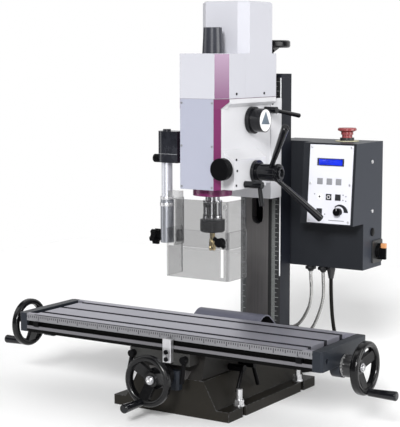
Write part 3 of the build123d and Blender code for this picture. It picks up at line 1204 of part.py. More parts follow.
def guard_bracket():
    """Bracket on the head's left side that holds the guard post."""
    half = GUARD_BRACKET_DEPTH / 2
    body = block(POST_X, -HEAD_WIDTH / 2, POST_Y - half, POST_Y + half, GUARD_BRACKET_BOTTOM_Z, GUARD_BRACKET_TOP_Z)
    body += rod_z(POST_X, POST_Y, GUARD_BRACKET_BOTTOM_Z, GUARD_BRACKET_TOP_Z, half)
    body += rod_z(POST_X, POST_Y, GUARD_BRACKET_TOP_Z, GUARD_BRACKET_TOP_Z + BRACKET_PLUG_HEIGHT, BRACKET_PLUG_RADIUS)
    body -= rod_z(POST_X, POST_Y, GUARD_BRACKET_BOTTOM_Z, POST_TOP_Z + FREE_GAP, POST_RADIUS + RUN_FIT)
    hole_end = POST_X - POST_RADIUS
    return body - rod_x(GUARD_BRACKET_LEFT_X, hole_end, POST_Y, BRACKET_KNOB_Z, SHIELD_STUD_RADIUS + RUN_FIT)


def guard_bracket_knob():
    """Clamp knob of the post's bracket."""
    start = GUARD_BRACKET_LEFT_X - FREE_GAP
    knob = rod_x(start - BRACKET_KNOB_LENGTH, start, POST_Y, BRACKET_KNOB_Z, BRACKET_KNOB_RADIUS)
    knob = fillet(knob.edges().group_by(Axis.X)[0], 2.0)
    return knob + rod_x(start, POST_X - POST_RADIUS - FREE_GAP, POST_Y, BRACKET_KNOB_Z, SHIELD_STUD_RADIUS)


def guard_post():
    """Guard post with its lower sleeve and the hanger that carries the upper shield."""
    post = rod_z(POST_X, POST_Y, GUARD_SLEEVE_TOP_Z, POST_TOP_Z, POST_RADIUS)
    post += rod_z(POST_X, POST_Y, POST_BOTTOM_Z, GUARD_SLEEVE_TOP_Z, SLEEVE_OUTER_RADIUS)
    front = POST_Y - HANGER_DEPTH / 2
    back = POST_Y + HANGER_DEPTH / 2
    post += block(POST_X, UPPER_SHIELD_LEFT_X, front, back, HANGER_ARM_BOTTOM_Z, HANGER_TOP_Z)
    post += block(UPPER_SHIELD_LEFT_X - HANGER_THICKNESS, UPPER_SHIELD_LEFT_X, front, back,
                  HANGER_BOTTOM_Z, HANGER_TOP_Z)
    hole_start = POST_X - SLEEVE_OUTER_RADIUS
    return post - rod_x(hole_start, POST_X, POST_Y, STAR_KNOB_Z, SHIELD_STUD_RADIUS + RUN_FIT)


def shield(left, right, front, left_back, right_back, low, high):
    """A clear shield bent round three sides, open at the back."""
    wall = SHIELD_THICKNESS
    deepest = max(left_back, right_back)
    outer = block(left, right, front, deepest, low, high)
    outer = fillet(outer.edges().filter_by(Axis.Z).group_by(Axis.Y)[0], SHIELD_CORNER)
    inner = block(left + wall, right - wall, front + wall, deepest, low, high)
    inner = fillet(inner.edges().filter_by(Axis.Z).group_by(Axis.Y)[0], SHIELD_CORNER - wall)
    body = outer - inner
    middle = (left + right) / 2
    if left_back < deepest:
        body -= block(left, middle, left_back, deepest, low, high)
    if right_back < deepest:
        body -= block(middle, right, right_back, deepest, low, high)
    return body


def upper_shield():
    """Upper clear shield with the stud that guides the lower one."""
    body = shield(UPPER_SHIELD_LEFT_X, UPPER_SHIELD_RIGHT_X, UPPER_SHIELD_FRONT_Y, UPPER_SHIELD_LEFT_BACK_Y,
                  UPPER_SHIELD_RIGHT_BACK_Y, UPPER_SHIELD_BOTTOM_Z, UPPER_SHIELD_TOP_Z)
    return body + rod_y(SHIELD_SLOT_X, UPPER_SHIELD_FRONT_Y - SHIELD_STUD_LENGTH,
                        UPPER_SHIELD_FRONT_Y + SHIELD_THICKNESS, SHIELD_STUD_Z, SHIELD_STUD_RADIUS)


def lower_shield():
    """Lower clear shield that slides up outside the upper one on its slot."""
    right_back = UPPER_SHIELD_RIGHT_BACK_Y
    body = shield(LOWER_SHIELD_LEFT_X, LOWER_SHIELD_RIGHT_X, LOWER_SHIELD_FRONT_Y, LOWER_SHIELD_LEFT_BACK_Y,
                  right_back, LOWER_SHIELD_BOTTOM_Z, LOWER_SHIELD_TOP_Z)
    half = SHIELD_SLOT_WIDTH / 2
    front = LOWER_SHIELD_FRONT_Y
    body -= block(SHIELD_SLOT_X - half, SHIELD_SLOT_X + half, front, front + SHIELD_THICKNESS,
                  SHIELD_SLOT_BOTTOM_Z, SHIELD_SLOT_TOP_Z)
    return body


def star_knob():
    """Five lobed knob that clamps the guard's sleeve."""
    start = POST_X - SLEEVE_OUTER_RADIUS - FREE_GAP
    stem_end = start - KNOB_STEM_LENGTH
    knob = rod_x(stem_end - STAR_KNOB_THICKNESS, stem_end, POST_Y, STAR_KNOB_Z, STAR_KNOB_RADIUS)
    for turn in range(5):
        angle = math.radians(90 + turn * 72)
        y = POST_Y + STAR_KNOB_RADIUS * 1.12 * math.cos(angle)
        z = STAR_KNOB_Z + STAR_KNOB_RADIUS * 1.12 * math.sin(angle)
        knob -= rod_x(stem_end - STAR_KNOB_THICKNESS, stem_end, y, z, STAR_KNOB_RADIUS * 0.4)
    knob += rod_x(stem_end, start, POST_Y, STAR_KNOB_Z, KNOB_STEM_RADIUS)
    return knob + rod_x(start, POST_X - FREE_GAP, POST_Y, STAR_KNOB_Z, SHIELD_STUD_RADIUS)


def wing_knob():
    """Wing knob on the upper shield's stud."""
    start = LOWER_SHIELD_FRONT_Y - FREE_GAP
    end = start - WING_KNOB_LENGTH
    knob = rod_y(SHIELD_SLOT_X, end, start, SHIELD_STUD_Z, WING_KNOB_RADIUS)
    half = WING_SPAN / 2
    wings = Rot(0, 35, 0) * block(-half, half, -2.0, 2.0, -3.5, 3.5)
    knob += Pos(SHIELD_SLOT_X, end + 3.0, SHIELD_STUD_Z) * wings
    return knob - rod_y(SHIELD_SLOT_X, end + 3.0, start, SHIELD_STUD_Z, SHIELD_STUD_RADIUS + RUN_FIT)


# Control box


def console_profile(inset):
    """Side outline of the box with its sloped console, in Y and Z, an inset inside the outer face."""
    return [(BOX_BACK_Y, BOX_BOTTOM_Z + inset), (BOX_FRONT_Y + inset, BOX_BOTTOM_Z + inset),
            (BOX_FRONT_Y + inset, CONSOLE_BOTTOM_Z + inset), (CONSOLE_BOTTOM_Y + inset, CONSOLE_BOTTOM_Z + inset),
            (CONSOLE_TOP_Y + inset, BOX_TOP_Z - inset), (BOX_BACK_Y, BOX_TOP_Z - inset)]


def control_box():
    """Sheet steel box with a sloped console, and its back cover."""
    wall = BOX_WALL
    shell_back = BOX_BACK_Y - wall
    outer = block(BOX_LEFT_X, BOX_RIGHT_X, BOX_FRONT_Y, shell_back, BOX_BOTTOM_Z, BOX_TOP_Z)
    outer += prism_x(console_profile(0), CONSOLE_LEFT_X, BOX_RIGHT_X) & block(
        CONSOLE_LEFT_X, BOX_RIGHT_X, CONSOLE_BOTTOM_Y, shell_back, BOX_BOTTOM_Z, BOX_TOP_Z)
    inner = block(BOX_LEFT_X + wall, BOX_RIGHT_X - wall, BOX_FRONT_Y + wall, shell_back,
                  BOX_BOTTOM_Z + wall, BOX_TOP_Z - wall)
    inner += prism_x(console_profile(wall), CONSOLE_LEFT_X + wall, BOX_RIGHT_X - wall) & block(
        CONSOLE_LEFT_X, BOX_RIGHT_X, CONSOLE_BOTTOM_Y, shell_back, BOX_BOTTOM_Z, BOX_TOP_Z)
    shell = outer - inner
    shell -= rod_z(ESTOP_X, ESTOP_Y, BOX_TOP_Z - wall, BOX_TOP_Z, ESTOP_PIN_RADIUS + FREE_GAP)
    shell -= rod_x(BOX_RIGHT_X - wall, BOX_RIGHT_X, SWITCH_Y, SWITCH_Z, SWITCH_SHAFT_RADIUS + FREE_GAP)
    shaft_end = panel_place() * (speed_knob_x(), SPEED_KNOB_HEIGHT, -2 * wall)
    shaft_start = panel_place() * (speed_knob_x(), SPEED_KNOB_HEIGHT, wall)
    shell -= rod_between(shaft_end, shaft_start, SPEED_SHAFT_RADIUS + FREE_GAP, SPEED_SHAFT_RADIUS + FREE_GAP)
    cover = block(BOX_LEFT_X, BOX_RIGHT_X, shell_back, BOX_BACK_Y, BOX_BOTTOM_Z, BOX_TOP_Z)
    return group(shell, cover)


class PanelPlace:
    """Frame of the sloped panel: x to the right, y up the slope, z out of the panel."""

    def __init__(self):
        rise = Vector(0, CONSOLE_TOP_Y - CONSOLE_BOTTOM_Y, BOX_TOP_Z - CONSOLE_BOTTOM_Z).normalized()
        left = BOX_RIGHT_X - PLATE_MARGIN_RIGHT - PLATE_WIDTH
        foot = Vector(left, CONSOLE_BOTTOM_Y, CONSOLE_BOTTOM_Z) + rise * PLATE_MARGIN_BOTTOM
        out = Vector(1, 0, 0).cross(rise)
        self.plane = Plane(origin=foot, x_dir=(1, 0, 0), z_dir=out)

    def __mul__(self, other):
        if isinstance(other, tuple):
            return tuple(self.plane.from_local_coords(Vector(*other)))
        return self.plane * other


def panel_place():
    """Frame of the sloped panel at the plate's lower left corner."""
    return PanelPlace()


def speed_knob_x():
    """The speed knob's place along the plate's width."""
    return SPEED_KNOB_X - (BOX_RIGHT_X - PLATE_MARGIN_RIGHT - PLATE_WIDTH)


def on_panel(x, y, z, solid):
    """Places a solid on the sloped panel."""
    return panel_place() * (Pos(x, y, z) * solid)


def control_panel():
    """Keypad plate, emergency stop collar on its ring, and the main switch plate."""
    middle_y = PLATE_HEIGHT / 2
    plate = on_panel(PLATE_WIDTH / 2, middle_y, PLATE_THICKNESS / 2, Box(PLATE_WIDTH, PLATE_HEIGHT, PLATE_THICKNESS))
    hole = on_panel(speed_knob_x(), SPEED_KNOB_HEIGHT, PLATE_THICKNESS / 2,
                    Cylinder(SPEED_SHAFT_RADIUS + FREE_GAP, PLATE_THICKNESS))
    plate -= hole
    ring_top = BOX_TOP_Z + ESTOP_PLATE_THICKNESS
    collar = rod_z(ESTOP_X, ESTOP_Y, BOX_TOP_Z, ring_top, ESTOP_PLATE_RADIUS)
    collar += rod_z(ESTOP_X, ESTOP_Y, ring_top, ring_top + ESTOP_COLLAR_HEIGHT, ESTOP_COLLAR_RADIUS)
    collar -= rod_z(ESTOP_X, ESTOP_Y, BOX_TOP_Z, ring_top + ESTOP_COLLAR_HEIGHT, ESTOP_PIN_RADIUS + RUN_FIT)
    half = SWITCH_PLATE_SIZE / 2
    switch = block(BOX_RIGHT_X, BOX_RIGHT_X + SWITCH_PLATE_THICKNESS, SWITCH_Y - half, SWITCH_Y + half,
                   SWITCH_Z - half, SWITCH_Z + half)
    switch = fillet(switch.edges().filter_by(Axis.X), 4.0)
    switch -= rod_x(BOX_RIGHT_X, BOX_RIGHT_X + SWITCH_PLATE_THICKNESS, SWITCH_Y, SWITCH_Z,
                    SWITCH_SHAFT_RADIUS + RUN_FIT)
    return group(plate, collar, switch)


def speed_knob():
    """Spindle speed knob on the panel."""
    start = PLATE_THICKNESS + FREE_GAP
    body = on_panel(speed_knob_x(), SPEED_KNOB_HEIGHT, start + SPEED_KNOB_LENGTH / 2,
                    Cylinder(SPEED_KNOB_RADIUS, SPEED_KNOB_LENGTH))
    shaft = on_panel(speed_knob_x(), SPEED_KNOB_HEIGHT, (start - BOX_WALL) / 2,
                     Cylinder(SPEED_SHAFT_RADIUS, start + BOX_WALL))
    return body + shaft


def estop_button():
    """Red mushroom button on its pin."""
    low = BOX_TOP_Z + ESTOP_PLATE_THICKNESS + ESTOP_COLLAR_HEIGHT + ESTOP_TRAVEL_GAP
    neck = low + ESTOP_STEM_HEIGHT
    head = turned([(0, low), (ESTOP_STEM_RADIUS, low), (ESTOP_STEM_RADIUS, neck - 3.0), (ESTOP_HEAD_RADIUS, neck),
                   (ESTOP_HEAD_RADIUS, neck + ESTOP_HEAD_HEIGHT - 2.0),
                   (ESTOP_HEAD_RADIUS - 2.0, neck + ESTOP_HEAD_HEIGHT), (0, neck + ESTOP_HEAD_HEIGHT)])
    head += rod_z(0, 0, BOX_TOP_Z - BOX_WALL, low, ESTOP_PIN_RADIUS)
    return Pos(ESTOP_X, ESTOP_Y) * head


def main_switch_handle():
    """Turning handle of the main switch."""
    start = BOX_RIGHT_X + SWITCH_PLATE_THICKNESS + FREE_GAP
    top = start + SWITCH_KNOB_LENGTH
    body = rod_x(start, top, SWITCH_Y, SWITCH_Z, SWITCH_KNOB_RADIUS)
    half = SWITCH_GRIP_THICKNESS / 2
    reach = SWITCH_KNOB_RADIUS + 3.0
    body += block(start + 1.0, top + SWITCH_GRIP_LENGTH, SWITCH_Y - half, SWITCH_Y + half,
                  SWITCH_Z - reach, SWITCH_Z + reach)
    return body + rod_x(BOX_RIGHT_X - BOX_WALL, start, SWITCH_Y, SWITCH_Z, SWITCH_SHAFT_RADIUS)


def drive_controller():
    """Motor controller on the box's back cover."""
    back = BOX_BACK_Y - BOX_WALL
    middle_x = (BOX_LEFT_X + BOX_RIGHT_X) / 2
    middle_z = (BOX_BOTTOM_Z + BOX_TOP_Z) / 2
    half = CONTROLLER_WIDTH / 2
    return block(middle_x - half, middle_x + half, back - CONTROLLER_DEPTH, back,
                 middle_z - CONTROLLER_HEIGHT / 2, middle_z + CONTROLLER_HEIGHT / 2)


# Cables


def gland(bore, length=GLAND_LENGTH):
    """A round gland on +Z with a tapered nose for its cable."""
    return turned([(0, 0), (GLAND_RADIUS, 0), (GLAND_RADIUS, GLAND_LENGTH / 2), (bore + 1.5, length), (0, length)])


def cable_fittings():
    """Glands under the control box, and the terminal box behind the column pad with its own glands."""
    pieces = []
    for x, kind in GLANDS_UNDER_BOX:
        nose = gland(CONDUIT_RADIUS) if kind == "conduit" else gland(CABLE_RADIUS, STRAIN_RELIEF_LENGTH)
        pieces.append(Pos(x, GLAND_Y, BOX_BOTTOM_Z) * Rot(180, 0, 0) * nose)
    pieces.append(block(TERMINAL_BOX_LEFT_X, TERMINAL_BOX_RIGHT_X, PAD_BACK_Y, PAD_BACK_Y + TERMINAL_BOX_DEPTH,
                        TERMINAL_BOX_BOTTOM_Z, TERMINAL_BOX_TOP_Z))
    for z in TERMINAL_GLAND_HEIGHTS:
        pieces.append(Pos(TERMINAL_BOX_RIGHT_X, TERMINAL_GLAND_Y, z) * Rot(0, 90, 0) * gland(CONDUIT_RADIUS))
    return group(*pieces)


def route_radii(points):
    """Bend radii of a cable's corners, each as large as its two runs allow."""
    radii = []
    for before, corner, after in zip(points, points[1:], points[2:]):
        first = Vector(*corner) - Vector(*before)
        second = Vector(*after) - Vector(*corner)
        turn = math.radians(first.get_angle(second))
        radii.append(0.45 * min(first.length, second.length) / math.tan(turn / 2))
    return radii


def cable_tube(name, points, diameter):
    """A round tube along straight runs joined by tangent arcs."""
    radii = route_radii(points)
    path = FilletPolyline(*points, radius=radii)
    section = Plane(origin=path @ 0, z_dir=path % 0) * Circle(diameter / 2)
    tube = sweep(section, path=path)
    expected = math.pi * diameter ** 2 / 4 * path.length
    print(name, "length", round(path.length, 1), "radii", [round(r, 1) for r in radii],
          "volume ratio", round(tube.volume / expected, 4))
    return tube


def coil_arcs():
    """Half turn arcs of the mains coil: in on the floor, up one layer, out again and a straight tail."""
    floor = CABLE_RADIUS + 0.1
    upper = floor + COIL_LAYER_STEP
    half_step = COIL_PITCH / 2
    edges = []
    radius = COIL_INNER_RADIUS + COIL_TURNS_IN * COIL_PITCH
    y = COIL_Y + radius
    side = 1
    for _ in range(int(2 * COIL_TURNS_IN)):
        edges.append(half_turn(y, radius, side, floor))
        y -= side * 2 * radius
        radius -= half_step
        side = -side
    edges += climbing_turn(y, COIL_INNER_RADIUS, side, floor, upper)
    y -= side * 2 * COIL_INNER_RADIUS
    side = -side
    radius = COIL_INNER_RADIUS + half_step
    for _ in range(int(2 * COIL_TURNS_OUT)):
        edges.append(half_turn(y, radius, side, upper))
        y -= side * 2 * radius
        radius += half_step
        side = -side
    edges.append(Line((COIL_X, y, upper), (COIL_X - COIL_TAIL, y, upper)))
    return edges, (COIL_X - COIL_TAIL, y, upper)


def half_turn(y, radius, side, z):
    """A level half turn, anticlockwise from above, starting at a given Y on the coil's middle line."""
    return ThreePointArc((COIL_X, y, z), (COIL_X - side * radius, y - side * radius, z),
                         (COIL_X, y - side * 2 * radius, z))


def climbing_turn(y, radius, side, low, high):
    """A half turn in two tangent quarter arcs that climbs one layer."""
    rise = (high - low) / 2
    bulge = math.hypot(radius, rise)
    start = (COIL_X, y, low)
    middle = (COIL_X - side * bulge, y - side * radius, low + rise)
    end = (COIL_X, y - side * 2 * radius, high)
    first = TangentArc(start, middle, tangent=(-side, 0, 0))
    second = TangentArc(middle, end, tangent=first % 1)
    return [first, second]


def mains_coil():
    """The put away length of the mains lead as one unbroken tube."""
    edges, _ = coil_arcs()
    path = Wire(edges)
    section = Plane(origin=path @ 0, z_dir=path % 0) * Circle(CABLE_RADIUS)
    tube = sweep(section, path=path)
    samples = 400
    spots = [path @ (i / samples) for i in range(samples + 1)]
    stride = path.length / samples
    apart = int(6 * CABLE_RADIUS / stride)
    nearest = min((spots[i] - spots[j]).length for i in range(samples + 1) for j in range(i + apart, samples + 1))
    print("mains coil length", round(path.length, 1), "least gap", round(nearest - CABLE_DIAMETER, 2),
          "volume ratio", round(tube.volume / (math.pi * CABLE_RADIUS ** 2 * path.length), 4))
    return tube


def mains_plug():
    """Two pin plug at the coil's end, lying on the bench."""
    _, (x, y, z) = coil_arcs()
    neck = rod_between((x, y, z), (x - PLUG_NECK_LENGTH, y, z), CABLE_RADIUS + 1.0, CABLE_RADIUS + 4.0)
    front = x - PLUG_NECK_LENGTH
    outline = Plane.YZ * RectangleRounded(PLUG_WIDTH, PLUG_HEIGHT, PLUG_HEIGHT / 2 - 1.0)
    body = Pos(front - PLUG_LENGTH, y, z) * extrude(outline, amount=PLUG_LENGTH)
    face = front - PLUG_LENGTH
    plug = neck + body
    for side in (-1, 1):
        plug += rod_x(face - PLUG_PIN_LENGTH, face, y + side * PLUG_PIN_PITCH / 2, z, PLUG_PIN_RADIUS)
    return plug


def main():
    """Builds every node and writes it."""
    os.makedirs("parts", exist_ok=True)
    nodes = {
        "base_casting": base_casting(),
        "base_fittings": base_fittings(),
        "column": column(),
        "column_fittings": column_fittings(),
        "way_cover": way_cover(),
        "saddle": saddle(),
        "saddle_fittings": saddle_fittings(),
        "table": table(),
        "table_fittings": table_fittings(),
        "x_leadscrew": x_leadscrew(),
        "x_handwheels": x_handwheels(),
        "x_right_grip": right_wheel_place() * grip(RIGHT_COLLAR_LENGTH, RIGHT_GRIP_ANGLE),
        "x_left_grip": left_wheel_place() * grip(LEFT_COLLAR_LENGTH, LEFT_GRIP_ANGLE),
        "y_leadscrew": y_leadscrew(),
        "y_handwheel": y_wheel_place() * wheel_with_pin(Y_COLLAR_LENGTH, Y_GRIP_ANGLE),
        "y_grip": y_wheel_place() * grip(Y_COLLAR_LENGTH, Y_GRIP_ANGLE),
        "z_screw_and_wheel": z_screw_and_wheel(),
        "head_casting": head_casting(),
        "front_panel": front_panel(),
        "accent_trim": accent_trim(),
        "belt_cover": belt_cover(),
        "motor_cover": motor_cover(),
        "drawbar_cap": drawbar_cap(),
        "motor": motor(),
        "motor_pulley": motor_pulley(),
        "spindle_pulley": spindle_pulley(),
        "drive_belt": drive_belt(),
        "z_nut": z_nut(),
        "quill": quill(),
        "spindle": spindle(),
        "collet_chuck": collet_chuck(),
        "end_mill": end_mill(),
        "feed_levers": feed_levers(),
        "fine_feed_knob": fine_feed_knob(),
        "gear_selector": gear_selector(),
        "z_clamp_lever": z_clamp_lever(),
        "quill_clamp_lever": quill_clamp_lever(),
        "x_clamp_left": x_clamp(-1, -CLAMP_TILT),
        "x_clamp_right": x_clamp(1, -CLAMP_TILT / 2),
        "y_clamp_front": y_clamp(Y_CLAMP_FRONT_Y, -2 * CLAMP_TILT),
        "y_clamp_rear": y_clamp(Y_CLAMP_REAR_Y, 2 * CLAMP_TILT),
        "guard_bracket": guard_bracket(),
        "guard_bracket_knob": guard_bracket_knob(),
        "guard_post": guard_post(),
        "upper_shield": upper_shield(),
        "lower_shield": lower_shield(),
        "star_knob": star_knob(),
        "wing_knob": wing_knob(),
        "control_box": control_box(),
        "control_panel": control_panel(),
        "drive_controller": drive_controller(),
        "estop_button": estop_button(),
        "main_switch_handle": main_switch_handle(),
        "speed_knob": speed_knob(),
        "cable_fittings": cable_fittings(),
        "conduit_front": cable_tube("conduit_front", CONDUIT_FRONT_ROUTE, CONDUIT_DIAMETER),
        "conduit_rear": cable_tube("conduit_rear", CONDUIT_REAR_ROUTE, CONDUIT_DIAMETER),
        "mains_cable": cable_tube("mains_cable", MAINS_ROUTE, CABLE_DIAMETER),
        "mains_cable_coil": mains_coil(),
        "mains_plug": mains_plug(),
    }
    for node, shape in nodes.items():
        save(shape, node)


main()
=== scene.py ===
"""Looks of a bench milling and drilling machine.

Finishes, cables, printed scales and small fittings are added to its CAD frame.
"""

import logging
import math
from contextlib import contextmanager
from dataclasses import dataclass
from enum import Enum
from functools import lru_cache
from typing import Callable, Iterator, Optional, Sequence

import bpy
from mathutils import Matrix, Vector


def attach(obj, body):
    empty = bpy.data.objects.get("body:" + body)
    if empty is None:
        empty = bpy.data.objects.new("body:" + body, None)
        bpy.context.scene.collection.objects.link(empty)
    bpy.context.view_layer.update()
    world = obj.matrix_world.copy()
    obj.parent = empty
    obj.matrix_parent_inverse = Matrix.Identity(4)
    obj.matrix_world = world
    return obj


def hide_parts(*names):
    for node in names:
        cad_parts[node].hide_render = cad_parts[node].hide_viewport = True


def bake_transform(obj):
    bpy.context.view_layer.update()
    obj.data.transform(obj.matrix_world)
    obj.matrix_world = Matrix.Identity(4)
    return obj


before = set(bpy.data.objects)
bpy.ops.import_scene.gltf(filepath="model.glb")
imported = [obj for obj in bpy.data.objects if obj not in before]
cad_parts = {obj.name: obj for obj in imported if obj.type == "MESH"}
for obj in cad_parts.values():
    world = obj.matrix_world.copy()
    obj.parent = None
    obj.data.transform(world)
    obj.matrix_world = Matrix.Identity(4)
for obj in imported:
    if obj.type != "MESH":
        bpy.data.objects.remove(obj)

LOG = logging.getLogger("mill")
Pair = tuple[float, float]
Triple = tuple[float, float, float]
Place = Sequence[float]
Places = Sequence[Triple]
Piece = bpy.types.Object
Socket = bpy.types.NodeSocket
FaceTest = Callable[[Vector, Vector], bool]
PointTest = Callable[[Vector], bool]

# Least share of a face's normal along a direction that the face is said to point in
FACING = 0.9
# The same share for a face that leans that way, and the largest share for one that runs along it
LEANING = 0.5
SIDEWAYS = 0.3
# Places that several sub-assemblies share
ORIGIN = (0.0, 0.0, 0.0)
X_AXLE = (0.0, -0.1189, 0.129)
Y_AXLE = (0.0, 0.0, 0.080)
Z_AXLE = (0.0, 0.197, 0.0)
FEED_AXLE = (0.0, 0.030, 0.462)
SPINDLE = (0.0, -0.019)
GUARD_POST = (-0.084, -0.058)


class Axis(Enum):
    """A direction of the machine's frame."""

    X = 0
    Y = 1
    Z = 2

    @property
    def vector(self) -> Vector:
        """Unit vector along the axis."""
        return Vector([1.0 if self.value == index else 0.0 for index in range(3)])


class Way(Enum):
    """Where a small fitting faces."""

    RIGHT = (1.0, 0.0, 0.0)
    LEFT = (-1.0, 0.0, 0.0)
    REAR = (0.0, 1.0, 0.0)
    FRONT = (0.0, -1.0, 0.0)


class Body(Enum):
    """CAD bodies that new pieces ride on."""

    BASE = "base"
    SADDLE = "cross_slide"
    TABLE = "work_table"
    HEAD = "head"
    TOOL = "tool_spindle"
    SELECTOR = "selector"
    SPEED = "speed_dial"
    SWITCH = "main_switch"
    GUARD = "guard_arm"
    X_SCREW = "x_screw"
    Y_SCREW = "y_screw"
    FEED = "feed_shaft"


# Shader building


def rgba(colour: object) -> object:
    """A plain colour with its alpha, or the socket that was given."""
    return colour if isinstance(colour, Socket) else (*colour, 1.0)


class Shade:
    """One shader tree while it is being wired."""

    def __init__(self, tree: bpy.types.NodeTree) -> None:
        """Keeps the tree."""
        self.tree = tree

    def fill(self, node: bpy.types.Node, inputs: dict) -> None:
        """Fills or links a node's inputs.

        Args:
            node: The node.
            inputs: Values or output sockets by input name or index.
        """
        for key, value in inputs.items():
            if isinstance(value, Socket):
                self.tree.links.new(value, node.inputs[key])
            else:
                node.inputs[key].default_value = value

    def node(self, kind: str, inputs: Optional[dict] = None, **options: object) -> bpy.types.Node:
        """Adds a node, sets its options and fills or links its inputs.

        Args:
            kind: Node type without its ShaderNode prefix.
            inputs: Values or output sockets by input name or index.
            **options: Node properties.

        Returns:
            The new node.
        """
        made = self.tree.nodes.new("ShaderNode" + kind)
        for key, value in options.items():
            setattr(made, key, value)
        self.fill(made, inputs or {})
        return made

    def group(self, kind: "GroupKind", inputs: dict) -> bpy.types.NodeOutputs:
        """Places a shared effect."""
        return self.node("Group", inputs, node_tree=GroupBook.get(kind)).outputs

    def math(self, operation: str, *values: object) -> Socket:
        """A Math node's result."""
        return self.node("Math", dict(enumerate(values)), operation=operation).outputs[0]

    def vector(self, operation: str, *values: object) -> bpy.types.NodeOutputs:
        """A Vector Math node's results."""
        return self.node("VectorMath", dict(enumerate(values)), operation=operation).outputs

    def noise(self, place: object, scale: float, detail: float, **others: float) -> Socket:
        """A Noise Texture's value."""
        inputs = {"Vector": place, "Scale": scale, "Detail": detail, **others}
        return self.node("TexNoise", inputs).outputs[0]

    def ramp(self, value: object, span: Sequence[object], result: Sequence[object]) -> Socket:
        """A clamped linear remap."""
        keys = ("Value", "From Min", "From Max", "To Min", "To Max")
        return self.node("MapRange", dict(zip(keys, (value, *span, *result)))).outputs[0]

    def blend(self, mask: object, first: object, second: object) -> Socket:
        """A mix of two colours."""
        return self.node("Mix", {0: mask, 6: rgba(first), 7: rgba(second)}, data_type="RGBA").outputs[2]

    def bump(self, depth: float, height: object, normal: object) -> Socket:
        """A Bump node's normal."""
        inputs = {"Strength": 1.0, "Distance": depth, "Height": height, "Normal": normal}
        return self.node("Bump", inputs).outputs[0]


def new_material(name: str) -> tuple[bpy.types.Material, Shade, bpy.types.Node, Socket]:
    """An empty material.

    Args:
        name: Material name.

    Returns:
        The material, the builder of its tree, its shader and its object coordinates.
    """
    made = bpy.data.materials.new(name)
    made.use_nodes = True
    shade = Shade(made.node_tree)
    place = shade.node("TexCoord").outputs["Object"]
    return made, shade, made.node_tree.nodes["Principled BSDF"], place


class GroupKind(Enum):
    """Shared shader effects."""

    GRAIN = "surface_grain"
    EDGE = "edge_wear"
    TICKS = "graduation"


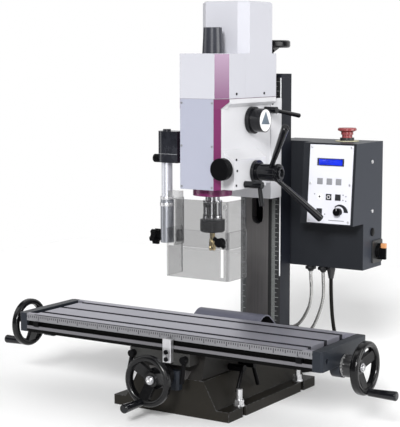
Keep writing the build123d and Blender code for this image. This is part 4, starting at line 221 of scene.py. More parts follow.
class GroupBook:
    """Builds each shared shader group once.

    Attributes:
        made: Groups that are built already.
        none_to_all: Range of a mask.
        noise_span: Noise values at which an effect starts and is complete.
        fine_detail: Octaves and roughness of the fine grain.
        broad: Scale and octaves of the broad tone changes.
        shares: Shares of the fine grain and of the broad changes in the tone.
        edge_span: How alike soft and flat normals are where wear starts and is complete.
        patches: Scale and octaves of the breaks in the worn and highlighted edges.
        patch_span: Noise values at which a break ends and the worn, highlighted edge is complete.
        rows: Every so many lines of a ruler, and the share of the full length they have.
    """

    made: dict[GroupKind, bpy.types.NodeTree] = {}
    none_to_all: Pair = (0.0, 1.0)
    noise_span: Pair = (0.3, 0.7)
    fine_detail: Pair = (3.0, 0.6)
    broad: Pair = (14.0, 3.0)
    shares: Pair = (0.6, 0.4)
    edge_span: Pair = (0.98, 0.75)
    patches: Pair = (160.0, 4.0)
    patch_span: Pair = (0.42, 0.62)
    rows: Sequence[Pair] = ((1.0, 0.5), (5.0, 0.75), (10.0, 1.0))

    @classmethod
    def get(cls, kind: GroupKind) -> bpy.types.NodeTree:
        """The group of one kind.

        Args:
            kind: Which effect.

        Returns:
            Its node tree.
        """
        if kind not in cls.made:
            builders = {GroupKind.GRAIN: cls.grain, GroupKind.EDGE: cls.edge, GroupKind.TICKS: cls.ticks}
            cls.made[kind] = builders[kind]()
        return cls.made[kind]

    @staticmethod
    def start(kind: GroupKind, inputs: dict[str, str],
              outputs: dict[str, str]) -> tuple[Shade, dict[str, Socket], bpy.types.Node]:
        """An empty group with its sockets.

        Args:
            kind: Which effect.
            inputs: Socket kinds by input name.
            outputs: Socket kinds by output name.

        Returns:
            The tree's builder, the input sockets by name and the output node.
        """
        tree = bpy.data.node_groups.new(kind.value, "ShaderNodeTree")
        for way, sockets in (("INPUT", inputs), ("OUTPUT", outputs)):
            for label, sort in sockets.items():
                tree.interface.new_socket(label, in_out=way, socket_type="NodeSocket" + sort)
        entry = tree.nodes.new("NodeGroupInput")
        given = {label: entry.outputs[label] for label in inputs}
        return Shade(tree), given, tree.nodes.new("NodeGroupOutput")

    @classmethod
    def grain(cls) -> bpy.types.NodeTree:
        """Fine grain or brushed lines, with broad tone changes under them.

        Returns:
            The group.
        """
        inputs = {"Vector": "Vector", "Stretch": "Vector", "Colour": "Color", "Tone": "Float",
                  "Roughness": "Float", "Spread": "Float"}
        outputs = {"Colour": "Color", "Roughness": "Float", "Height": "Float"}
        shade, given, end = cls.start(GroupKind.GRAIN, inputs, outputs)
        detail, roughness = cls.fine_detail
        place = shade.vector("MULTIPLY", given["Vector"], given["Stretch"])[0]
        fine = shade.noise(place, 1.0, detail, Roughness=roughness)
        layers = (fine, shade.noise(given["Vector"], *cls.broad))
        both = shade.math("ADD", *(shade.math("MULTIPLY", *pair) for pair in zip(layers, cls.shares)))

        def around(middle: object, change: object) -> Socket:
            """A value that changes by as much to both sides over the surface."""
            ends = [shade.math(way, middle, change) for way in ("SUBTRACT", "ADD")]
            return shade.ramp(both, cls.noise_span, ends)

        factor = around(1.0, given["Tone"])
        tinted = shade.node("VectorMath", {0: given["Colour"], "Scale": factor}, operation="SCALE").outputs[0]
        rough = around(given["Roughness"], given["Spread"])
        shade.fill(end, {"Colour": tinted, "Roughness": rough, "Height": fine})
        return shade.tree

    @classmethod
    def edge(cls) -> bpy.types.NodeTree:
        """Softened edges, and a broken mask along them for worn paint and painted highlight.

        Returns:
            The group.
        """
        inputs = {"Vector": "Vector", "Radius": "Float", "Wear": "Float"}
        shade, given, end = cls.start(GroupKind.EDGE, inputs, {"Normal": "Vector", "Mask": "Float"})
        soft = shade.node("Bevel", {"Radius": given["Radius"]}, samples=4).outputs[0]
        flat = shade.node("NewGeometry").outputs["Normal"]
        alike = shade.vector("DOT_PRODUCT", soft, flat)["Value"]
        band = shade.ramp(alike, cls.edge_span, cls.none_to_all)
        broken = shade.ramp(shade.noise(given["Vector"], *cls.patches), cls.patch_span, cls.none_to_all)
        mask = shade.math("MULTIPLY", shade.math("MULTIPLY", band, broken), given["Wear"])
        shade.fill(end, {"Normal": soft, "Mask": mask})
        return shade.tree

    @classmethod
    def ticks(cls) -> bpy.types.NodeTree:
        """A ruler's lines: each fifth line is longer and each tenth longest.

        Returns:
            The group.
        """
        inputs = {key: "Float" for key in ("Along", "Across", "Pitch", "Line", "Length")}
        shade, given, end = cls.start(GroupKind.TICKS, inputs, {"Mask": "Float"})
        steps = shade.math("DIVIDE", given["Along"], given["Pitch"])
        line = shade.math("DIVIDE", given["Line"], shade.math("MULTIPLY", given["Pitch"], 2.0))
        total: object = 0.0
        for every, share in cls.rows:
            part = shade.math("FRACT", shade.math("ADD", shade.math("DIVIDE", steps, every), 0.5))
            away = shade.math("MULTIPLY", shade.math("ABSOLUTE", shade.math("SUBTRACT", part, 0.5)), every)
            on_line = shade.math("LESS_THAN", away, line)
            short = shade.math("LESS_THAN", given["Across"], shade.math("MULTIPLY", given["Length"], share))
            total = shade.math("MAXIMUM", total, shade.math("MULTIPLY", on_line, short))
        inside = shade.math("MULTIPLY", total, shade.math("GREATER_THAN", given["Across"], 0.0))
        shade.fill(end, {"Mask": inside})
        return shade.tree


@dataclass(frozen=True)
class Ribs:
    """Rows of ridges across an axis, such as a thread or a ribbed housing.

    Attributes:
        axis: Axis that the ridges repeat along.
        pitch: Distance between ridges in metres.
        depth: Height of a ridge in metres.
    """

    axis: Axis
    pitch: float
    depth: float


@dataclass(frozen=True)
class Graduation:
    """A printed or engraved scale on a flat face or round a collar.

    Attributes:
        along: Axis that the scale runs along, or that its collar turns on.
        across: Axis that its lines run along.
        base: Place on the across axis where the lines start.
        pitch: Distance between lines.
        line: Width of a line.
        length: Length of the longest line, negative to run down the axis.
        ink: Colour of the lines.
        centre: A collar's centre, or nothing for a straight scale.
        collar: Radius at which a collar's lines have their pitch.
    """

    along: Axis
    across: Axis
    base: float
    pitch: float
    line: float
    length: float
    ink: Triple
    centre: Optional[Triple] = None
    collar: float = 0.021

    def mask(self, shade: Shade, place: Socket) -> Socket:
        """Wires the scale into a material.

        Args:
            shade: The material's tree.
            place: Object coordinates.

        Returns:
            The mask of the lines.
        """
        parts = shade.node("SeparateXYZ", {0: place}).outputs
        run = parts[self.along.value]
        if self.centre is not None:
            others = [axis.value for axis in Axis if axis is not self.along]
            sides = [shade.math("SUBTRACT", parts[index], self.centre[index]) for index in others]
            run = shade.math("MULTIPLY", shade.math("ARCTAN2", *sides), self.collar)
        side = shade.math("MULTIPLY", shade.math("SUBTRACT", parts[self.across.value], self.base),
                          math.copysign(1.0, self.length))
        return shade.group(GroupKind.TICKS, {"Along": run, "Across": side, "Pitch": self.pitch,
                                             "Line": self.line, "Length": abs(self.length)})["Mask"]


@dataclass(frozen=True)
class Span:
    """What lies between two places on an axis.

    Attributes:
        axis: Axis it is measured along.
        low: Where it starts.
        high: Where it ends.
    """

    axis: Axis
    low: float
    high: float

    def along(self, shade: Shade, place: Socket) -> Socket:
        """Places on the axis."""
        return shade.node("SeparateXYZ", {0: place}).outputs[self.axis.value]

    def mask(self, shade: Shade, place: Socket) -> Socket:
        """Wires the span into a material.

        Args:
            shade: The material's tree.
            place: Object coordinates.

        Returns:
            The mask of the span.
        """
        along = self.along(shade, place)
        above = shade.math("GREATER_THAN", along, self.low)
        return shade.math("MULTIPLY", above, shade.math("LESS_THAN", along, self.high))


@dataclass(frozen=True)
class Band(Span):
    """A stripe of another colour.

    Attributes:
        ink: Its colour.
    """

    ink: Triple


@dataclass(frozen=True)
class Fade(Band):
    """A slow change to another colour, which is complete at the span's end."""

    def mask(self, shade: Shade, place: Socket) -> Socket:
        """Wires the change into a material."""
        return shade.ramp(self.along(shade, place), (self.low, self.high), GroupBook.none_to_all)


@dataclass(frozen=True)
class Finish:
    """A surface finish with grain, softened edges, and edges lightened as worn paint and as painted highlight.

    Attributes:
        name: Material name.
        colour: Base colour, linear.
        roughness: Mean roughness.
        metallic: Metallic share.
        tone: Colour change over the surface.
        spread: Roughness change over the surface.
        stretch: Grain frequency along X, Y and Z, per metre.
        bump: Height of the grain in metres.
        edge: Radius that edges look rounded by, in metres.
        wear: How far edges show the lighter edge colour, for worn paint and for painted highlight.
        wear_and_highlight_colour: Colour under the surface where edges are worn, and the painted highlight
            along edges.
        coat: Clear coat weight.
        coat_roughness: Roughness of the clear coat.
        gloss: Specular level of the surface.
        ribs: Ridges, where the surface has them.
        scale: Printed scale or stripe, where the surface has one.
    """

    name: str
    colour: Triple
    roughness: float
    metallic: float = 0.0
    tone: float = 0.05
    spread: float = 0.05
    stretch: Triple = (700.0, 700.0, 700.0)
    bump: float = 0.00002
    edge: float = 0.0008
    wear: float = 0.0
    wear_and_highlight_colour: Triple = (0.32, 0.32, 0.33)
    coat: float = 0.0
    coat_roughness: float = 0.08
    gloss: float = 0.5
    ribs: Optional[Ribs] = None
    scale: Optional[Graduation | Band] = None

    @lru_cache(maxsize=None)
    def material(self) -> bpy.types.Material:
        """The finish as a material, made once.

        Returns:
            The material.
        """
        made, shade, shader, place = new_material(self.name)
        grain = shade.group(GroupKind.GRAIN, {
            "Vector": place, "Stretch": self.stretch, "Colour": rgba(self.colour), "Tone": self.tone,
            "Roughness": self.roughness, "Spread": self.spread})
        edge = shade.group(GroupKind.EDGE, {"Vector": place, "Radius": self.edge, "Wear": self.wear})
        colour = shade.blend(edge["Mask"], grain["Colour"], self.wear_and_highlight_colour)
        if self.scale is not None:
            colour = shade.blend(self.scale.mask(shade, place), colour, self.scale.ink)
        normal = shade.bump(self.bump, grain["Height"], edge["Normal"])
        if self.ribs is not None:
            wave = shade.node("TexWave", {"Vector": place, "Scale": math.pi / (10.0 * self.ribs.pitch)},
                              bands_direction=self.ribs.axis.name).outputs[1]
            normal = shade.bump(self.ribs.depth, wave, normal)
        shade.fill(shader, {
            "Base Color": colour, "Roughness": grain["Roughness"], "Normal": normal,
            "Metallic": self.metallic, "Specular IOR Level": self.gloss, "Coat Weight": self.coat,
            "Coat Roughness": self.coat_roughness})
        return made


@dataclass(frozen=True)
class ClearSheet:
    """Clear grey plastic sheet with fine wiping marks.

    Attributes:
        name: Material name.
        colour: Tint of the sheet.
        cover: How far one face hides what is behind it.
        roughness: Roughness of the polished faces.
        lap: Part that lies over another sheet and hides less.
        lap_share: How much of its cover that part keeps.
        stretch: Frequency of the wiping marks along X, Y and Z, per metre.
        tone: Change of tint and of cover over the sheet.
        spread: Roughness change over the sheet.
    """

    name: str
    colour: Triple
    cover: float
    roughness: float = 0.08
    lap: Optional[Span] = None
    lap_share: float = 0.15
    stretch: Triple = (60.0, 60.0, 900.0)
    tone: float = 0.03
    spread: float = 0.05

    @lru_cache(maxsize=None)
    def material(self) -> bpy.types.Material:
        """The sheet as a material, made once.

        Returns:
            The material.
        """
        made, shade, shader, place = new_material(self.name)
        grain = shade.group(GroupKind.GRAIN, {
            "Vector": place, "Stretch": self.stretch, "Colour": rgba(self.colour), "Tone": self.tone,
            "Roughness": self.roughness, "Spread": self.spread})
        ends = [self.cover * (1.0 + change) for change in (-self.tone, self.tone)]
        haze = shade.ramp(grain["Height"], GroupBook.noise_span, ends)
        if self.lap is not None:
            kept = shade.ramp(self.lap.mask(shade, place), GroupBook.none_to_all, (1.0, self.lap_share))
            haze = shade.math("MULTIPLY", haze, kept)
        shade.fill(shader, {"Base Color": grain["Colour"], "Roughness": grain["Roughness"], "Alpha": haze})
        return made


@dataclass(frozen=True)
class LitScreen:
    """Back-lit display with uneven light.

    Attributes:
        name: Material name.
        colour: Light colour.
        strength: Brightness.
        roughness: Roughness of its glass.
        dim: Share of the light in its darker places.
        patches: Scale and octaves of the darker places.
        span: Noise values at which the dark ends and the light is full.
    """

    name: str
    colour: Triple
    strength: float
    roughness: float = 0.15
    dim: float = 0.55
    patches: Pair = (60.0, 1.0)
    span: Pair = (0.35, 0.65)

    @lru_cache(maxsize=None)
    def material(self) -> bpy.types.Material:
        """The screen as a material, made once.

        Returns:
            The material.
        """
        made, shade, shader, place = new_material(self.name)
        uneven = shade.ramp(shade.noise(place, *self.patches), self.span, GroupBook.none_to_all)
        glow = shade.blend(uneven, tuple(self.dim * part for part in self.colour), self.colour)
        shade.fill(shader, {"Base Color": glow, "Emission Color": glow, "Roughness": self.roughness,
                            "Emission Strength": self.strength})
        return made


# Finishes of the machine


def even(rate: float) -> Triple:
    """Grain that is as fine in every direction."""
    return (rate, rate, rate)


def thread(axis: Axis) -> Finish:
    """Threaded steel along an axis."""
    name = f"{axis.name.lower()}_screw_thread"
    return Finish(name, (0.45, 0.45, 0.47), 0.28, 0.95, ribs=Ribs(axis, 0.004, 0.0012))


def dial(name: str, axis: Axis, base: float, length: float, centre: Triple) -> Finish:
    """A black collar with fine white lines round it."""
    lines = Graduation(axis, axis, base, 0.0026, 0.0005, length, (0.62, 0.62, 0.62), centre)
    return Finish(name, (0.012, 0.012, 0.013), 0.32, tone=0.10, scale=lines)


BRUSHED_X = (5.0, 900.0, 900.0)
BRUSHED_Z = (900.0, 900.0, 6.0)

# Castings and paint
COLUMN_PAINT = Finish(
    "column_paint", (0.010, 0.0115, 0.017), 0.42, tone=0.10, spread=0.08, stretch=even(420.0), bump=0.00005,
    edge=0.0012, wear=0.35, wear_and_highlight_colour=(0.16, 0.17, 0.19), gloss=0.15)
# Its light broken edges stand for worn paint and for the painted highlight along the base's edges.
BASE_PAINT = Finish(
    "base_paint", (0.015, 0.0135, 0.011), 0.48, tone=0.14, spread=0.08, stretch=even(320.0), bump=0.00008,
    edge=0.0016, wear=0.9, wear_and_highlight_colour=(0.26, 0.27, 0.29), gloss=0.12)
BOX_PAINT = Finish(
    "box_powder_coat", (0.027, 0.031, 0.041), 0.40, spread=0.04, stretch=even(1500.0), bump=0.00004, wear=0.2,
    wear_and_highlight_colour=(0.13, 0.14, 0.15), gloss=0.2)
# Darker copy of the box's powder coat for its forward faces: painted shade.
BOX_FRONT_SHADE = Finish(
    "box_front_painted_shade", (0.014, 0.0155, 0.019), 0.42, tone=0.06, spread=0.04, stretch=even(1500.0), bump=0.00004,
    gloss=0.22)
BRACKET_PAINT = Finish(
    "bracket_paint", (0.015, 0.018, 0.024), 0.40, tone=0.10, stretch=even(420.0), bump=0.00005, wear=0.35,
    wear_and_highlight_colour=(0.17, 0.18, 0.20), gloss=0.2)
# Darker copy of the saddle paint for all its faces but the front and the ways: painted shade.
SADDLE_SHADE = Finish(
    "saddle_painted_shade", (0.014, 0.013, 0.012), 0.50, tone=0.14, spread=0.08, stretch=even(420.0), bump=0.00006,
    gloss=0.2)
SADDLE_PAINT = Finish(
    "saddle_paint", (0.032, 0.032, 0.031), 0.45, tone=0.10, spread=0.08, stretch=even(420.0), bump=0.00006,
    edge=0.0012, wear=0.35, wear_and_highlight_colour=(0.24, 0.24, 0.25), gloss=0.2)
HEAD_PAINT = Finish(
    "head_white_paint", (0.595, 0.596, 0.617), 0.34, tone=0.02, stretch=even(260.0), bump=0.00004, edge=0.0015,
    coat=0.2)
# Darker copy of the head paint for the slanted front corners that face the main light: painted shade.
HEAD_FACET_SHADE = Finish(
    "head_corner_painted_shade", (0.405, 0.405, 0.422), 0.38, tone=0.02, stretch=even(260.0), bump=0.00004)
MOTOR_PAINT = Finish("motor_paint", (0.030, 0.031, 0.034), 0.42, tone=0.10, ribs=Ribs(Axis.Z, 0.008, 0.0012))
WAY_IRON = Finish(
    "scraped_way_iron", (0.13, 0.125, 0.125), 0.40, 0.7, tone=0.16, spread=0.08, stretch=(260.0, 260.0, 7.0))
COLUMN_SCALE = Finish(
    "column_side_scale", (0.028, 0.0285, 0.030), 0.45, 0.3, tone=0.10, stretch=BRUSHED_Z,
    scale=Graduation(Axis.Z, Axis.X, 0.0275, 0.002, 0.0009, 0.017, (0.34, 0.36, 0.35)))
COLUMN_TICKS = Finish(
    "column_height_scale", (0.085, 0.088, 0.09), 0.45, 0.3, tone=0.08, stretch=BRUSHED_Z,
    scale=Graduation(Axis.Z, Axis.X, -0.0490, 0.0025, 0.0008, 0.012, (0.50, 0.51, 0.52)))
TABLE_IRON = Finish(
    "ground_table_iron", (0.345, 0.342, 0.395), 0.38, 0.6, stretch=BRUSHED_X, wear=0.5,
    wear_and_highlight_colour=(0.62, 0.62, 0.66))
TABLE_BAND = Finish(
    "table_front_scale", (0.215, 0.215, 0.228), 0.40, 0.5, stretch=BRUSHED_X,
    scale=Graduation(Axis.X, Axis.Z, 0.1660, 0.005, 0.0018, -0.0085, (0.03, 0.03, 0.034)))
# Its near-black stripe below 138.5 mm is painted shade along the bottom of the table's front.
TABLE_LOWER = Finish(
    "table_lower_band", (0.135, 0.132, 0.142), 0.45, 0.1, tone=0.10, stretch=BRUSHED_X, gloss=0.05,
    scale=Band(Axis.Z, 0.0, 0.1385, (0.003, 0.003, 0.003)))
SLOT_DARK = Finish(
    "slot_shadow_iron", (0.030, 0.030, 0.036), 0.45, 0.3, tone=0.08, stretch=BRUSHED_X, gloss=0.2)
GROOVE_BLACK = Finish("groove_shadow_paint", (0.0025, 0.0025, 0.0025), 0.6, tone=0.1, gloss=0.03)
SEAM_DARK = Finish("seam_shadow", (0.10, 0.05, 0.085), 0.50, tone=0.08)

# Bare and plated metal
ZINC = Finish("zinc_plate", (0.62, 0.62, 0.63), 0.32, 0.9, tone=0.10, spread=0.10, stretch=even(300.0))
STEEL = Finish("turned_steel", (0.55, 0.55, 0.57), 0.22, 0.95, tone=0.08, stretch=(8.0, 8.0, 1200.0))
CHROME = Finish(
    "polished_chuck_steel", (0.64, 0.64, 0.66), 0.09, 1.0, tone=0.04, spread=0.04, stretch=(8.0, 8.0, 1500.0))
BLACKENED = Finish(
    "blackened_nut_steel", (0.010, 0.0105, 0.012), 0.34, 0.25, tone=0.10, edge=0.0006, wear=0.5,
    wear_and_highlight_colour=(0.30, 0.30, 0.32), gloss=0.25)
BRONZE = Finish("machined_bronze", (0.46, 0.28, 0.11), 0.32, 0.9, tone=0.10, stretch=(40.0, 900.0, 900.0))
ALUMINIUM = Finish("satin_aluminium", (0.66, 0.66, 0.68), 0.34, 0.9, tone=0.06, stretch=(900.0, 900.0, 10.0))
POST_ALUMINIUM = Finish("post_aluminium", (0.60, 0.61, 0.66), 0.34, 0.6, tone=0.06, stretch=(900.0, 900.0, 8.0))
SLEEVE_GREY = Finish("sleeve_aluminium", (0.30, 0.31, 0.34), 0.34, 0.8, tone=0.08, stretch=(900.0, 900.0, 8.0))
TOOL_GOLD = Finish("gold_tool_coating", (0.62, 0.49, 0.25), 0.28, 0.85, tone=0.08, stretch=even(300.0))
CONDUIT_GREY = Finish("metal_conduit", (0.50, 0.50, 0.49), 0.26, 0.85, tone=0.08, spread=0.06)
X_THREAD, Y_THREAD, Z_THREAD = (thread(axis) for axis in Axis)

# Plastic, rubber and print
COVER_PLASTIC = Finish(
    "cover_white_plastic", (0.490, 0.493, 0.535), 0.36, tone=0.015, spread=0.04, bump=0.000015, edge=0.0012)
PANEL_GREY = Finish("front_panel_lilac", (0.345, 0.358, 0.435), 0.38, tone=0.025, spread=0.04, bump=0.000015)
MAGENTA = Finish("magenta_strip", (0.132, 0.016, 0.080), 0.34, tone=0.06, gloss=0.15)
RING_MAGENTA = Finish("ring_magenta", (0.15, 0.012, 0.085), 0.32, tone=0.06, coat=0.2)
WINDOW_PINK = Finish(
    "tinted_window", (0.29, 0.19, 0.28), 0.26, tone=0.06, stretch=(30.0, 30.0, 12.0), gloss=0.4,
    scale=Fade(Axis.Z, 0.705, 0.611, (0.125, 0.03, 0.105)))
GLOSS_BLACK = Finish(
    "gloss_black", (0.0045, 0.0048, 0.0062), 0.12, tone=0.12, stretch=even(90.0), bump=0.00001, edge=0.0010,
    gloss=0.34)
# The drawbar cap is black plastic; its raised blue-grey base colour is painted sheen for the reflections on it.
CAP_SHEEN = Finish("cap_plastic_painted_sheen", (0.030, 0.032, 0.041), 0.28, tone=0.10)
SATIN_BLACK = Finish(
    "satin_black", (0.0035, 0.0035, 0.004), 0.34, tone=0.12, spread=0.08, bump=0.00003, gloss=0.06)
WHEEL_BLACK = Finish(
    "wheel_black", (0.0035, 0.0035, 0.004), 0.20, tone=0.12, spread=0.08, stretch=even(150.0), edge=0.0018,
    gloss=0.32)
MOTTLED_BLACK = Finish(
    "bracket_gloss_black", (0.014, 0.015, 0.020), 0.24, tone=0.45, spread=0.20, stretch=(60.0, 60.0, 40.0),
    gloss=0.45)
DIAL_X = dial("x_dial_black", Axis.X, 0.3505, 0.008, X_AXLE)
DIAL_X_LEFT = dial("left_dial_black", Axis.X, -0.3505, -0.008, X_AXLE)
DIAL_Y = dial("y_dial_black", Axis.Y, -0.2172, -0.006, Y_AXLE)
RUBBER = Finish("matte_rubber", (0.020, 0.021, 0.024), 0.50, tone=0.12, spread=0.08, bump=0.00004)
LEAD_RUBBER = Finish("lead_rubber", (0.005, 0.0045, 0.004), 0.42, tone=0.12, spread=0.08, gloss=0.12)
COVER_RUBBER = Finish(
    "way_cover_rubber", (0.082, 0.084, 0.113), 0.42, tone=0.14, spread=0.10, stretch=(120.0, 400.0, 400.0),
    bump=0.00006)
# Near-black finish for the underside of the way cover: painted shade inside the arch.
COVER_UNDER_SHADE = Finish("way_cover_underside_shade", (0.004, 0.004, 0.0045), 0.70, tone=0.10, gloss=0.1)
GLAND_BLACK = Finish("gland_black", (0.016, 0.016, 0.017), 0.38, tone=0.10)
BOX_GREY = Finish("terminal_grey", (0.16, 0.165, 0.175), 0.45, tone=0.06)
PLATE_OLIVE = Finish("stop_plate", (0.46, 0.44, 0.30), 0.45, tone=0.06)
FOIL_WHITE = Finish("printed_foil", (0.66, 0.665, 0.715), 0.34, tone=0.02, spread=0.04, bump=0.000008)
WHITE_STRIP = Finish("white_edge_strip", (0.80, 0.81, 0.82), 0.40, tone=0.03)
ESTOP_RED = Finish("stop_red", (0.250, 0.046, 0.049), 0.30, tone=0.06, coat=0.3)
SWITCH_AMBER = Finish("switch_amber", (0.56, 0.26, 0.11), 0.38, tone=0.06)
SIGN_GREY = Finish("printed_grey", (0.10, 0.135, 0.17), 0.40, tone=0.06)
KEY_GREY = Finish("key_grey", (0.23, 0.235, 0.25), 0.40, tone=0.06)
KEY_DARK = Finish("key_dark", (0.018, 0.019, 0.022), 0.34, tone=0.10)
KEY_WHITE = Finish("key_white", (0.80, 0.80, 0.81), 0.36, tone=0.02)
SHIELD_CLEAR = ClearSheet("guard_sheet", (0.05, 0.05, 0.052), 0.34)
SHIELD_LAPPED = ClearSheet("lapped_guard_sheet", (0.05, 0.05, 0.052), 0.34, lap=Span(Axis.Z, 0.318, 0.36))
SHIELD_SIDE = ClearSheet("guard_side_sheet", (0.05, 0.05, 0.052), 0.12)
SHIELD_FOLD = ClearSheet("guard_fold", (0.07, 0.07, 0.074), 0.48)
SHIELD_EDGE = ClearSheet("guard_edge", (0.13, 0.13, 0.135), 0.75, 0.25)
HANGER_CLEAR = ClearSheet("hanger_plate", (0.42, 0.42, 0.43), 0.42, 0.15)
DISPLAY_BLUE = LitScreen("display_blue", (0.0005, 0.016, 0.46), 0.52)
FLOOR_WHITE = Finish("studio_floor", (0.97, 0.97, 0.97), 0.75, tone=0.004, spread=0.02, bump=0.0)
Surface = Finish | ClearSheet | LitScreen


# Modelling bench


class Bench:
    """Modelling steps that every new piece uses, each an operator as used by hand.

    Attributes:
        sharp: Least angle of an edge that is bevelled.
        smooth: Largest angle that is shaded smooth.
        sides: Sides of a large round piece.
    """

    sharp: float = math.radians(40.0)
    smooth: float = math.radians(35.0)
    sides: int = 64

    @staticmethod
    def clear() -> None:
        """Deselects everything in object mode."""
        if bpy.context.object is not None and bpy.context.object.mode != "OBJECT":
            bpy.ops.object.mode_set(mode="OBJECT")
        bpy.ops.object.select_all(action="DESELECT")

    @staticmethod
    def take(obj: Piece) -> None:
        """Makes one object the selected and active one."""
        Bench.clear()
        obj.select_set(True)
        bpy.context.view_layer.objects.active = obj

    @staticmethod
    def apply(obj: Piece) -> Piece:
        """Moves an object's place into its mesh."""
        Bench.take(obj)
        bpy.ops.object.transform_apply(location=True, rotation=True, scale=True)
        return obj

    @staticmethod
    def named(name: str) -> Piece:
        """Names the primitive that was just added, and moves its place into its mesh."""
        bpy.context.object.name = name
        return Bench.apply(bpy.context.object)

    @staticmethod
    def cube(name: str, low: Place, high: Place) -> Piece:
        """Adds a block between two corners.

        Args:
            name: Piece name.
            low: Lowest corner.
            high: Highest corner.

        Returns:
            The block.
        """
        Bench.clear()
        low, high = Vector(low), Vector(high)
        bpy.ops.mesh.primitive_cube_add(size=1.0, location=(low + high) / 2, scale=high - low)
        return Bench.named(name)

    @staticmethod
    def rod(name: str, start: Place, end: Place, radius: float, sides: int) -> Piece:
        """Adds a cylinder between two points.

        Args:
            name: Piece name.
            start: Middle of one end.
            end: Middle of the other end.
            radius: Radius.
            sides: Number of sides.

        Returns:
            The cylinder.
        """
        Bench.clear()
        start, end = Vector(start), Vector(end)
        way = end - start
        bpy.ops.mesh.primitive_cylinder_add(vertices=sides, radius=radius, depth=way.length,
                                            location=(start + end) / 2,
                                            rotation=way.to_track_quat("Z", "Y").to_euler())
        return Bench.named(name)

    @staticmethod
    def ring(name: str, start: Place, end: Place, radius: float, wall: float, sides: int) -> Piece:
        """Adds a ring with softened edges.

        Args:
            name: Piece name.
            start: Middle of one end.
            end: Middle of the other end.
            radius: Outer radius.
            wall: Wall thickness.
            sides: Number of sides.

        Returns:
            The ring.
        """
        way = (Vector(end) - Vector(start)).normalized()
        ring = Bench.hollow(Bench.rod(name, start, end, radius, sides), way, wall)
        return Bench.soften(ring, wall / 5, 2)

    @staticmethod
    @contextmanager
    def edit(obj: Piece, faces: Optional[FaceTest] = None,
             points: Optional[PointTest] = None) -> Iterator[None]:
        """Edit mode on one object, with the faces or points that pass a test selected, or else all faces.

        Args:
            obj: The object.
            faces: Takes a face's middle and normal.
            points: Takes a vertex's place.
        """
        Bench.take(obj)
        bpy.context.tool_settings.mesh_select_mode = (points is not None, False, points is None)
        bpy.ops.object.mode_set(mode="EDIT")
        bpy.ops.mesh.select_all(action="DESELECT")
        bpy.ops.object.mode_set(mode="OBJECT")
        if points is not None:
            for vertex in obj.data.vertices:
                vertex.select = points(vertex.co)
        else:
            for face in obj.data.polygons:
                face.select = faces is None or faces(face.center, face.normal)
        bpy.ops.object.mode_set(mode="EDIT")
        yield
        bpy.ops.object.mode_set(mode="OBJECT")

    @staticmethod
    def pull(*way: float) -> None:
        """Extrudes the selected faces along a way."""
        bpy.ops.mesh.extrude_region_move(TRANSFORM_OT_translate={"value": way})

    @staticmethod
    def raised(inset: float, *way: float) -> None:
        """Insets the selected faces and moves them along a way."""
        bpy.ops.mesh.inset(thickness=inset)
        bpy.ops.transform.translate(value=way)

    @staticmethod
    def cut(obj: Piece, place: Place, way: Place) -> None:
        """Cuts off what lies past a plane, and closes the cut."""
        with Bench.edit(obj):
            bpy.ops.mesh.bisect(plane_co=place, plane_no=way, use_fill=True, clear_outer=True)

    @staticmethod
    def hollow(obj: Piece, way: Vector, wall: float) -> Piece:
        """Opens a block or rod at both ends and gives the rest a wall that grows inwards.

        Args:
            obj: The object.
            way: From one end to the other, of length 1.
            wall: Wall thickness.

        Returns:
            The object.
        """
        with Bench.edit(obj, lambda c, n: abs(n.dot(way)) > FACING):
            bpy.ops.mesh.delete(type="FACE")
        return Bench.thicken(obj, wall, -1.0)

    @staticmethod
    def modify(obj: Piece, kind: str, **settings: float) -> Piece:
        """Adds a modifier and applies it.

        Args:
            obj: The object.
            kind: Modifier type.
            **settings: Its settings.

        Returns:
            The object.
        """
        Bench.take(obj)
        bpy.ops.object.modifier_add(type=kind)
        added = obj.modifiers[-1]
        for key, value in settings.items():
            setattr(added, key, value)
        bpy.ops.object.modifier_apply(modifier=added.name)
        return obj

    @staticmethod
    def soften(obj: Piece, width: float, segments: int) -> Piece:
        """Bevels an object's sharp edges by a width, in a number of steps."""
        return Bench.modify(obj, "BEVEL", width=width, segments=segments, angle_limit=Bench.sharp)

    @staticmethod
    def thicken(obj: Piece, thickness: float, offset: float, inner_slot: int = 0) -> Piece:
        """Gives a sheet its thickness."""
        return Bench.modify(obj, "SOLIDIFY", thickness=thickness, offset=offset, material_offset=inner_slot)

    @staticmethod
    def copy(source: Piece, name: str, place: Matrix) -> Piece:
        """A copy with its own mesh.

        Args:
            source: What to copy.
            name: Piece name.
            place: Where the copy goes, from the source's own place.

        Returns:
            The copy.
        """
        made = source.copy()
        made.data = source.data.copy()
        made.name = name
        made.data.transform(place)
        bpy.context.scene.collection.objects.link(made)
        return made

    @staticmethod
    def join(name: str, pieces: Sequence[Piece]) -> Piece:
        """Joins meshes into one piece.

        Args:
            name: Piece name.
            pieces: The meshes, the first kept.

        Returns:
            The joined piece.
        """
        Bench.take(pieces[0])
        for piece in pieces[1:]:
            piece.select_set(True)
        bpy.ops.object.join()
        pieces[0].name = name
        return pieces[0]

    @staticmethod
    def outward(obj: Piece) -> Piece:
        """Turns all of an object's faces outwards."""
        with Bench.edit(obj):
            bpy.ops.mesh.normals_make_consistent(inside=False)
        return obj

    @staticmethod
    def shade(obj: Piece) -> None:
        """Shades an object smooth, apart from its sharp edges."""
        Bench.take(obj)
        bpy.ops.object.shade_smooth_by_angle(angle=Bench.smooth)

    @staticmethod
    def done(obj: Piece, finish: Surface, body: Body, slot: str) -> Piece:
        """Dresses a finished piece, shades it and lets it ride on its body.

        Args:
            obj: The piece.
            finish: Its finish.
            body: CAD body it moves with.
            slot: Material slot of the record; not used.

        Returns:
            The piece.
        """
        Bench.shade(obj)
        obj.data.materials.append(finish.material())
        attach(obj, body.value)
        LOG.info("piece %s on %s", obj.name, body.value)
        return obj


